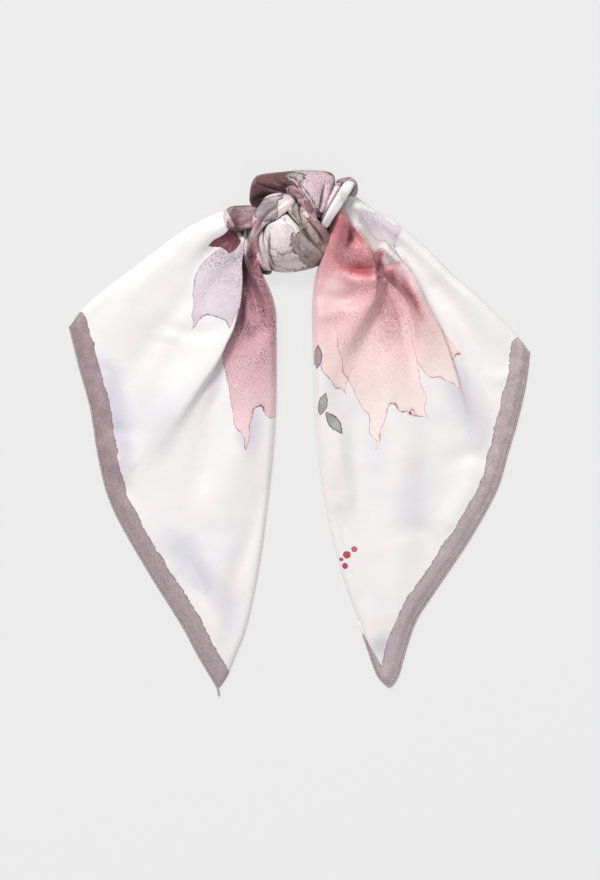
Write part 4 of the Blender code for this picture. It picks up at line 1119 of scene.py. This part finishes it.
# A stretch has a row for each station: x, y, z of one edge, x, y, z of the other edge, and the
# thickness of the folded cloth there. puff is how far its middle stands out, full how square its edges
# are (lower is squarer), folds are its creases and ridges in the plan, ground is its plain tone and
# blots are the patches of the print on it, where a few dark blots are painted shade in the hollows of
# the knot.
Stretch = namedtuple("Stretch", "name slot puff full ground folds blots stations")
STRETCHES = (
    Stretch("knot_white_roll", "white_silk", 0.4, 0.34, dye(250, 244, 244), (
        Fold(((59, 272), (50, 260), (40, 247), (30, 232)), (0.4, 0.7, 0.6, 0.2), 2.4, 2.4),
        Fold(((52, 273), (44, 262), (34, 247), (27, 234)), (-0.6, -0.8, -0.8, -0.4), 0.8, 0.8),
    ), (
        Blot((61, 275), (7, 3.5), 40, 2, 0.4, dye(226, 190, 200), dye(120, 60, 74)),
    ), (
        (54, 274, 30, 60, 271, 27, 4),
        (48, 269, 41, 58.5, 266.5, 37, 6),
        (41, 257.5, 46, 52.5, 256, 42, 6.5),
        (33, 244, 47, 44, 242.5, 43, 6.5),
        (27, 232, 46, 35, 230, 42, 6),
        (24, 225, 41, 30, 221, 38, 5),
    )),
    Stretch("knot_pale_fold", "pale_silk", 0.3, 0.4, dye(243, 224, 230), (
        Fold(((45, 270), (38, 256), (31, 243), (26, 232)), (-0.5, -0.9, -0.6, -0.2), 0.9, 0.9),
    ), (
        Blot((36, 259), (22, 1.6), 58, 2, 0.2, dye(226, 178, 196), dye(150, 44, 80)),
        Blot((44, 270), (9, 5), 30, 4, 0.6, dye(214, 160, 176), dye(130, 50, 76)),
    ), (
        (40, 271, 34, 48, 271, 36, 5),
        (34.5, 257, 40, 41, 258, 42, 6),
        (29.5, 246, 42, 34, 245, 43, 6),
        (25, 234.5, 41, 28, 233, 42, 5),
        (23.5, 228, 37, 25.5, 227, 37, 4),
    )),
    Stretch("knot_throat_roll", "plum_silk", 0.8, 0.6, dye(204, 162, 172), (
        Fold(((-8, 262), (0, 258), (8, 248), (14, 237)), (-0.8, -1.4, -1.2, -0.4), 1.2, 1.3),
        Fold(((-4, 266), (4, 259), (11, 248), (17, 236)), (0.3, 0.8, 0.6, 0.2), 1.4, 1.4),
    ), (
        Blot((-4, 264), (16, 7), -40, 7, 1.0, dye(158, 104, 118), dye(84, 40, 54)),
        Blot((12, 244), (9, 4), -60, 4, 1.0, dye(176, 122, 136), dye(104, 50, 66)),
    ), (
        (-15, 265, 37, -11, 256, 34, 5),
        (-7, 268, 41, -5.5, 256, 37, 6),
        (2.5, 262.5, 44, -0.5, 252.5, 38, 6),
        (9.5, 252.5, 46, 1, 248.5, 38, 7),
        (15, 243, 46, 4.5, 244, 39, 7),
        (19.5, 234, 43, 11, 235, 39, 6),
        (21.5, 227, 39, 16.5, 227.5, 37, 4),
    )),
    Stretch("knot_right_loop", "mauve_silk", 1.2, 0.5, dye(224, 202, 212), (
        Fold(((42, 270), (50, 271), (58, 268), (58, 259)), (-0.8, -1.6, -1.8, -0.6), 1.0, 1.2),
        Fold(((46, 276), (55, 274), (61, 267), (60, 258)), (0.4, 0.9, 0.8, 0.3), 1.5, 1.5),
    ), (
        Blot((48, 277), (13, 4), 4, 5, 1.0, dye(196, 136, 152), dye(110, 40, 60)),
        Blot((61, 262), (4, 9), 0, 4, 0.6, dye(176, 150, 162), dye(86, 52, 66)),
    ), (
        (40, 273, 27, 42, 266, 30, 5),
        (46.5, 276, 27, 46.5, 266, 33, 6),
        (55, 277, 25, 52, 266, 33, 7),
        (61, 272, 20, 53, 263, 32, 7),
        (62.5, 264.5, 17, 51, 258, 31, 7),
        (61.5, 256, 14, 48, 253, 30, 7),
    )),
    Stretch("knot_cross_band", "taupe_silk", 2.2, 0.42, dye(184, 152, 149), (
        Fold(((5, 238), (14, 226), (24, 213), (31, 200)), (-0.6, -2.0, -2.2, -0.8), 1.6, 2.0),
        Fold(((8, 242), (20, 231), (30, 219)), (0.5, 1.4, 0.8), 2.6, 2.0),
        Fold(((4, 230), (12, 214), (22, 202)), (0.4, 1.4, 0.6), 2.4, 2.4),
        Fold(((14, 236), (22, 226), (30, 214)), (-0.4, -1.0, -0.4), 1.0, 1.2),
    ), (
        Blot((24, 214), (22, 12), -52, 14, 1.5, dye(166, 124, 121), dye(66, 34, 36)),
        Blot((13, 222), (15, 4), -60, 9, 0.8, dye(206, 182, 172), dye(112, 84, 78)),
        Blot((8, 236), (8, 3.6), -50, 6, 0.0, dye(238, 228, 228), dye(62, 42, 46)),
    ), (
        (2, 247, 35, 5, 247, 36, 5),
        (2, 238.5, 40, 10, 240, 41, 7),
        (4, 228, 41, 20, 231.5, 41, 7),
        (7.5, 218, 39, 28, 224, 37, 8),
        (14, 208.5, 34, 34, 217.5, 29, 8),
        (21, 199.5, 28, 38, 210, 21, 8),
        (28, 192.5, 20, 40, 202, 13, 7),
    )),
    Stretch("knot_top_loop", "mauve_silk", 4.2, 0.5, dye(98, 56, 60), (
        # pleats that the throat draws together
        Fold(((-13, 259), (-26, 258), (-40, 257), (-52, 253)), (-3.0, -5.0, -4.0, -1.5), 2.4, 3.0),
        Fold(((-14, 262), (-26, 264), (-38, 268), (-47, 272)), (-2.4, -3.6, -3.0, -0.8), 1.3, 2.6),
        Fold(((-12, 264), (-20, 271), (-26, 278)), (-2.0, -3.0, -1.0), 1.2, 2.2),
        Fold(((-14, 261), (-28, 261), (-44, 263)), (0.8, 2.2, 1.2), 2.0, 2.0),
        Fold(((-12, 264), (-22, 268), (-34, 275)), (0.8, 1.8, 0.8), 2.0, 2.0),
        # the smooth loop on the right and the creases where it turns down into the knot
        Fold(((30, 279), (27, 264), (25, 250), (22, 236)), (-0.4, -1.8, -3.2, -2.0), 1.4, 2.4),
        Fold(((36, 274), (30, 256), (24, 240)), (0.6, 1.6, 1.0), 2.0, 2.6),
        Fold(((12, 276), (15, 262), (18, 246)), (0.4, 1.4, 0.8), 5.0, 4.0),
        Fold(((-8, 266), (1, 261), (8, 250), (15, 237)), (0.6, 1.4, 1.6, 0.8), 1.2, 1.6),
        Fold(((-6, 270), (4, 264), (12, 252), (18, 240)), (-0.6, -1.2, -1.2, -0.4), 1.2, 1.6),
    ), (
        Blot((-50, 264), (7, 18), -4, 8, 1.4, dye(150, 98, 106), dye(64, 24, 32)),
        # the dark recess under the loop's inner edge: partly the print's dark plum, partly painted
        # shade
        Blot((-36, 258), (18, 8), 6, 12, 1.3, dye(76, 40, 46), dye(44, 20, 26)),
        Blot((-30, 280), (34, 4), 4, 8, 1.0, dye(146, 104, 112), dye(60, 28, 36)),
        Blot((22, 262), (36, 22), -14, 14, 0.4, dye(236, 210, 220), dye(104, 44, 60)),
        Blot((-7, 271), (11, 8), -14, 12, 0.9, dye(190, 180, 178), dye(84, 66, 66)),
        # painted shade: the dark hollow of the throat
        Blot((-11, 260), (7, 4), -10, 3, 0.4, dye(48, 26, 30), dye(40, 20, 26)),
        Blot((6, 252), (28, 1.9), -50, 0.7, 0.0, dye(248, 243, 243), dye(84, 52, 62)),
    ), (
        (-52, 247, 6, -42, 246.5, 12, 8),
        (-51.5, 258, 10, -37.5, 252, 22, 9),
        (-49.5, 270, 12, -32, 257.5, 30, 9),
        (-43.5, 278.5, 13, -25.5, 259.5, 34, 9),
        (-29, 281, 14, -18.5, 260.5, 36, 9),
        (-12, 282, 15, -12, 263, 38, 9),
        (5.5, 282.5, 16, -6.5, 267, 41, 9),
        (22.5, 283, 17, 1, 261.5, 43.5, 9),
        (35, 281, 18, 8, 253.5, 44.5, 9),
        (39, 272, 24, 13.5, 244.5, 44.5, 8),
        (34, 255, 36, 17.5, 237, 43.5, 7),
        (26, 239, 40, 20.5, 232, 42, 5),
    )),
    Stretch("knot_green_fold", "taupe_silk", 0.8, 0.45, dye(196, 186, 178), (
        Fold(((-4, 248), (-4, 236), (2, 226)), (-0.6, -1.6, -0.8), 1.2, 1.4),
        Fold(((-8, 244), (-6, 234), (1, 226)), (0.4, 1.0, 0.4), 1.6, 1.6),
    ), (
        Blot((-1, 239), (14, 8), -66, 7, 1.2, dye(160, 147, 138), dye(84, 74, 68)),
    ), (
        (-5, 250.5, 33, 0, 251.5, 33, 5),
        (-12, 242.5, 38, 1, 244, 37, 6),
        (-6.5, 233.5, 40, 2, 233.5, 39, 6),
        (0.5, 226, 40, 4.5, 226, 39, 5),
        (4.5, 220, 38, 6.5, 220, 38, 4),
    )),
    Stretch("knot_left_wrap", "pale_silk", 2.2, 0.4, dye(244, 226, 228), (
        Fold(((-10, 252), (-24, 245), (-36, 236), (-45, 222), (-50, 206)),
             (-0.6, -1.8, -2.0, -1.6, -0.6), 1.6, 2.2),
        Fold(((-12, 257), (-26, 253), (-38, 246), (-48, 232)), (0.6, 1.6, 1.6, 0.6), 2.4, 2.6),
        Fold(((-12, 248), (-24, 239), (-36, 228), (-44, 214)), (0.4, 1.4, 1.2, 0.5), 1.4, 1.8),
        Fold(((-18, 260), (-30, 256), (-42, 244)), (-0.4, -1.0, -0.4), 1.0, 1.0),
    ), (
        Blot((-26, 253), (18, 7), 26, 13, 1.0, dye(158, 142, 148), dye(66, 50, 58)),
        Blot((-34, 240), (12, 8), -8, 13, 1.0, dye(164, 148, 154), dye(58, 44, 52)),
        Blot((-47, 213), (17, 4.5), 66, 9, 0.7, dye(196, 150, 160), dye(112, 50, 68)),
    ), (
        (-13, 259.5, 31, 0, 252.5, 33, 6),
        (-20, 260, 34, -7.5, 244.5, 38.5, 7),
        (-28.5, 258.5, 33.5, -15.5, 237.5, 41.5, 7.5),
        (-35, 255, 31.5, -23.5, 231.5, 41.5, 7.5),
        (-41.5, 246, 28, -31, 228.5, 39, 7.5),
        (-47.5, 236, 24, -37.5, 223, 35, 7.5),
        (-52, 226.5, 19, -41.5, 217.5, 31, 7.5),
        (-54.5, 217.5, 14, -44.5, 210, 26, 7),
        (-54.5, 209, 10, -47, 202.5, 20, 6),
        (-53, 200, 7, -50, 198, 12, 5),
    )),
    Stretch("knot_belly", "pale_silk", 4.2, 0.5, dye(252, 238, 236), (
        Fold(((-30, 222), (-31, 208), (-31, 196), (-27, 183)), (-0.6, -2.2, -2.4, -1.2), 1.4, 2.4),
        Fold(((-8, 228), (-1, 216), (8, 204), (18, 195)), (0.8, 2.4, 2.2, 0.8), 2.6, 2.2),
        Fold(((-2, 226), (7, 215), (16, 206), (24, 199)), (-0.8, -2.2, -2.6, -1.0), 1.4, 1.8),
        Fold(((-10, 224), (-6, 210), (2, 197), (12, 189)), (-0.3, -1.1, -1.4, -0.6), 1.6, 2.2),
        Fold(((-24, 226), (-17, 214), (-14, 200), (-14, 188)), (0.3, 1.2, 1.2, 0.5), 4.0, 4.0),
        Fold(((-26, 187), (-8, 188), (10, 192), (24, 196)), (-0.4, -1.2, -1.2, -0.4), 1.3, 2.2),
        Fold(((-18, 232), (-6, 227), (4, 219)), (-0.5, -1.0, -0.4), 1.0, 1.4),
    ), (
        Blot((-18, 216), (15, 13), -40, 16, 0.2, dye(247, 232, 234), dye(118, 88, 96)),
        Blot((-8, 194), (24, 9), 10, 14, 0.2, dye(248, 233, 229), dye(128, 98, 104)),
        Blot((14, 202), (19, 12), -42, 16, 1.5, dye(168, 144, 136), dye(72, 54, 50)),
        # painted shade: the dark hole where the layers open at the bottom of the knot
        Blot((-34, 178), (7, 4), 6, 3, 0.3, dye(58, 38, 42), dye(40, 24, 28)),
    ), (
        (-17, 238.5, 35, -12, 239, 35, 6),
        (-24.5, 231.5, 37.5, -3.5, 228, 39.5, 8),
        (-32.5, 227, 35.5, 5, 220.5, 39.5, 9),
        (-36.5, 218, 33.5, 12, 211.5, 36, 9),
        (-36.5, 208.5, 32.5, 20, 203.5, 31, 9),
        (-34.5, 198, 29.5, 27, 197.5, 24, 9),
        (-32, 188.5, 21.5, 30, 192.5, 15, 9),
        (-29.5, 181.5, 12.5, 28, 189.5, 8, 8),
        (-28.5, 179, 4.5, 24, 188.5, 3.5, 6),
    )),
    Stretch("knot_left_body", "plum_silk", 1.8, 0.5, dye(238, 214, 218), (
        Fold(((-42, 222), (-44, 208), (-42, 196), (-38, 184)), (-0.6, -1.8, -1.8, -0.8), 1.4, 1.8),
        Fold(((-47, 216), (-49, 204), (-46, 190)), (0.4, 1.2, 0.6), 1.6, 1.6),
    ), (
        Blot((-42, 214), (12, 4), 80, 9, 1.2, dye(164, 100, 114), dye(90, 38, 54)),
        # painted shade: the dark hole where the layers open at the bottom of the knot
        Blot((-34, 178), (7, 4), 6, 3, 0.3, dye(58, 38, 42), dye(40, 24, 28)),
    ), (
        (-46.5, 218, 24, -36, 226.5, 31, 7),
        (-52, 208.5, 12, -37, 215, 31, 8),
        (-52, 197.5, 10, -35.5, 202.5, 30, 8),
        (-48.5, 188, 8, -32.5, 191, 25, 8),
        (-42.5, 180, 6, -30, 181, 17, 7),
        (-36.5, 175, 4, -27, 176, 9, 5),
    )),
    Stretch("knot_left_flap", "plum_silk", 0.6, 0.32, dye(138, 98, 104), (
        Fold(((-46, 239), (-58, 238), (-70, 234)), (0.4, 1.2, 0.6), 3.0, 3.0),
        Fold(((-66, 248), (-72, 238), (-69, 226)), (-1.0, -2.2, -1.2), 1.0, 2.0),
        Fold(((-74, 247), (-77, 238), (-74, 227)), (0.4, 1.2, 0.6), 1.6, 1.6),
        Fold(((-46, 232), (-58, 229), (-68, 226)), (-0.6, -1.4, -0.6), 1.2, 1.6),
        Fold(((-46, 245), (-58, 245), (-66, 244)), (-0.4, -1.0, -0.4), 1.0, 1.4),
    ), (
        Blot((-54, 235), (19, 9), -4, 10, 1.5, dye(112, 64, 76), dye(58, 26, 36)),
        Blot((-56, 250), (26, 3.2), -2, 3, 0.6, dye(64, 34, 42), dye(44, 22, 30)),
        Blot((-62, 220), (22, 3.0), -4, 3, 0.4, dye(70, 36, 44), dye(44, 22, 30)),
        Blot((-79, 238), (8, 11.5), 14, 7, 0.4, dye(222, 212, 215), dye(44, 32, 40)),
    ), (
        (-40, 245, 26, -42, 229, 30, 5),
        (-51, 247, 23, -51.5, 222, 31, 5),
        (-61, 247, 20.5, -60, 220, 30, 5),
        (-69, 246.5, 18.5, -67, 219.5, 26.5, 4.5),
        (-75, 244.5, 18, -72.5, 222, 24, 4),
        (-80.5, 238, 18, -79, 227, 22, 3.5),
    )),
)


def evenly_round(share, side, width, thick):
    """Points at even steps around one section, from shares across it and heights over it."""
    step = np.hypot(np.diff(share) * width, np.diff(side) * 0.5 * thick)
    along = np.concatenate([[0], np.cumsum(step)])
    wanted = np.linspace(0, along[-1], STRETCH_SIDES + 1)
    return np.interp(wanted, along, share), np.interp(wanted, along, side), wanted


def mark_turned_shade(piece, rings, turned_shade):
    """Stores how far each point of a strip is turned under or pressed into a crease: the share of
    painted shade that its silk lays there.
    """
    tree = KDTree(rings.shape[0] * rings.shape[1])
    for place, point in enumerate((rings - MIDDLE).reshape(-1, 3) * MM):
        tree.insert(point, place)
    tree.balance()
    flat = turned_shade.reshape(-1)
    store(piece, "turned_shade", [flat[tree.find(point.co)[1]] for point in piece.data.vertices])


def wrap(stretch):
    """One stretch as a closed shell, and the width and length of its folded strip in metres."""
    table = curve_through(stretch.stations, STRETCH_STEPS)
    first, second, thick = table[:, :3], table[:, 3:6], table[:, 6]
    across = second - first
    width = np.linalg.norm(across, axis=1)
    out = 0.5 * (first + second) - np.array(KNOT_MIDDLE)
    out -= (out * across).sum(1)[:, None] * across / width[:, None] ** 2
    out /= np.linalg.norm(out, axis=1)[:, None]
    puff = stretch.puff * np.minimum(1, width / width.max() + 0.2)
    turn = np.linspace(0, 2 * math.pi, ROUND_SAMPLES)
    edge = np.sign(np.cos(turn)) * np.abs(np.cos(turn)) ** stretch.full
    face = np.sign(np.sin(turn)) * np.abs(np.sin(turn)) ** stretch.full
    closing = np.clip(np.arange(len(table)) / CLOSING_ROWS, 0, 1)
    closing = np.sin(0.5 * math.pi * np.minimum(closing, closing[::-1])) ** 0.6
    rings, cloth, turned_shade = [], [], []
    for place in range(len(table)):
        share, side, girth = evenly_round(0.5 - 0.5 * edge, face, width[place], thick[place])
        middle = 0.5 * (first[place] + second[place])
        grooved = 0.35 * np.cos(2.6 * math.pi * side) * np.abs(2 * share - 1) ** 6
        thickness = 0.5 * thick[place] * closing[place] * side
        rise = puff[place] * 4 * share * (1 - share) + thickness
        spread = (share - 0.5) * (0.45 + 0.55 * closing[place]) * width[place]
        spread -= np.sign(share - 0.5) * grooved * closing[place]
        way = across[place] / width[place]
        ring = middle + spread[:, None] * way + rise[:, None] * out[place]
        half = girth[-1] / 2
        level = way[:2] / max(np.linalg.norm(way[:2]), 0.3)
        rings.append(ring)
        # the lower side of the strip, which turns under, gets painted shade
        turned_shade.append(np.clip(SHADED_SIDE - 1.2 * side, 0, 1))
        cloth.append(middle[:2] + (half / 2 - np.where(girth < half, girth, 2 * half - girth))[:, None]
                     * -level)
    rings, cloth, turned_shade = np.array(rings), np.array(cloth), np.array(turned_shade)
    flat = rings[..., :2].reshape(-1, 2)
    height = sum(fold_effect(fold, flat)[0] for fold in stretch.folds).reshape(rings.shape[:2])
    above = np.clip((rings - rings.mean(1, keepdims=True))[..., 2], 0, None)
    share_up = np.clip(above / np.maximum(above.max(1, keepdims=True), 1), 0, 1) ** 0.5
    # its creases get painted shade as well
    turned_shade = np.maximum(turned_shade, np.clip(-height / 1.8, 0, 1.0))
    height = (height + 0.5 * ripple(1.9 * rings[..., :2] + rings[..., 2:])) * share_up
    rings = rings + (height * closing[:, None])[..., None] * out[:, None]
    rings[..., 2] = np.maximum(rings[..., 2], 0.0)
    ends = [np.repeat(rings[end].mean(0)[None, None], rings.shape[1], axis=1) for end in (0, -1)]
    cloth = np.concatenate([cloth[:1], cloth, cloth[-1:]])
    rings = np.concatenate([ends[0], rings, ends[1]])
    rings[:, -1], cloth[:, -1] = rings[:, 0], cloth[:, 0]
    girth = np.linalg.norm(np.diff(rings, axis=1), axis=2).sum(1)
    run = np.linalg.norm(np.diff(rings.mean(1), axis=0), axis=1)
    strip = (0.5 * (girth[1:] + girth[:-1]) * run).sum() / run.sum() / 2
    piece = lay_sheet(f"{stretch.name}_silk", rings, cloth, closed=True)
    mark_turned_shade(piece, rings, np.concatenate([turned_shade[:1], turned_shade, turned_shade[-1:]]))
    return piece, (strip * MM, run.sum() * MM)


DEPTH_CELL = 1.25
DEPTH_CELLS = 480
DEPTH_TURNS = 16
DEPTH_REACHES = (2.6, 4.2, 6.6, 10.0)


def depth_cell(plan):
    """The cell of the height map that each plan point is in."""
    cell = plan / DEPTH_CELL + DEPTH_CELLS / 2
    return tuple(np.clip(cell, 0, DEPTH_CELLS - 1).astype(int).T)


def mark_hollow_shade(pieces):
    """Stores how deep each point of the cloth lies between higher cloth, which sets the painted shade
    of its hollows: from every point a map of the heights is looked at in many directions."""
    spots = [places(piece) for piece in pieces]
    heights = np.zeros((DEPTH_CELLS, DEPTH_CELLS))
    all_spots = np.vstack(spots)
    np.maximum.at(heights, depth_cell(all_spots[:, :2]), all_spots[:, 2])
    soft = sum(np.roll(heights, (x, y), (0, 1)) for x in (-1, 0, 1) for y in (-1, 0, 1)) / 9
    for piece, spot in zip(pieces, spots):
        closed_in = np.zeros(len(spot))
        for turn in np.arange(DEPTH_TURNS) * (2 * math.pi / DEPTH_TURNS):
            way = np.array([math.cos(turn), math.sin(turn)])
            steep = np.zeros(len(spot))
            for reach in DEPTH_REACHES:
                seen = soft[depth_cell(spot[:, :2] + reach * way)]
                steep = np.maximum(steep, (seen - spot[:, 2]) / reach)
            closed_in += steep**2 / (1 + steep**2) / DEPTH_TURNS
        store(piece, "depth", soft_step(0.08, 0.6, closed_in))


strips = []
for stretch in STRETCHES:
    strip, flat_size = wrap(stretch)
    strips.append(strip)
    strip_print = knot_silk(f"{stretch.name}_print", stretch.ground, stretch.blots)
    dress(strip, strip_print, stretch.name)
mark_hollow_shade([left_front, right_front, *bunches, *strips])

# --- The floor, the light and the camera ---
# A plain pale table, which gives a little light of its own as a lit studio sweep does, a large soft
# lamp beyond the knot, a weak one opposite, and a camera straight above.
bpy.ops.mesh.primitive_plane_add(size=40)
floor = bpy.context.object
floor.name = "table"
floor.location.z = -0.3 * MM
bpy.ops.object.transform_apply(location=True)
table = bpy.data.materials.new("pale_table")
table.use_nodes = True
shader = table.node_tree.nodes["Principled BSDF"]
shader.inputs["Base Color"].default_value = (0.12, 0.12, 0.12, 1)
shader.inputs["Roughness"].default_value = 1.0
shader.inputs["Specular IOR Level"].default_value = 0.0
shader.inputs["Emission Color"].default_value = (1, 1, 1, 1)
shader.inputs["Emission Strength"].default_value = 0.72
floor.data.materials.append(table)

world = bpy.data.worlds.new("studio")
bpy.context.scene.world = world
world.use_nodes = True
world.node_tree.nodes["Background"].inputs["Color"].default_value = (0.92, 0.91, 0.94, 1)
world.node_tree.nodes["Background"].inputs["Strength"].default_value = 0.43


def soft_box(name, place, size, power, tone):
    """A studio lamp with a wide diffuser, turned to the scarf."""
    lamp = bpy.data.lights.new(name, "AREA")
    lamp.shape, lamp.size = "DISK", size
    lamp.energy, lamp.color = power, tone
    holder = bpy.data.objects.new(name, lamp)
    bpy.context.scene.collection.objects.link(holder)
    holder.location = place
    aim = -np.array(place) / np.linalg.norm(place)
    holder.rotation_euler = (math.acos(-aim[2]), 0, math.atan2(aim[1], aim[0]) - math.pi / 2)


soft_box("key_lamp", (-1.7, 3.9, 4.0), 1.5, 260, (1.0, 0.985, 0.975))
soft_box("fill_lamp", (2.6, -2.4, 4.8), 3.0, 40, (0.97, 0.98, 1.0))

CAMERA_HEIGHT = 6.0
VIEW_HEIGHT = 0.9478
SENSOR = 24
camera = bpy.data.cameras.new("overhead")
camera.sensor_fit = "VERTICAL"
camera.sensor_height = SENSOR
camera.lens = SENSOR * CAMERA_HEIGHT / VIEW_HEIGHT
camera.clip_end = 100
overhead = bpy.data.objects.new("overhead", camera)
bpy.context.scene.collection.objects.link(overhead)
overhead.location = (0.6 * MM, -6.5 * MM, CAMERA_HEIGHT)
bpy.context.scene.camera = overhead
bpy.context.scene.view_settings.view_transform = "Standard"
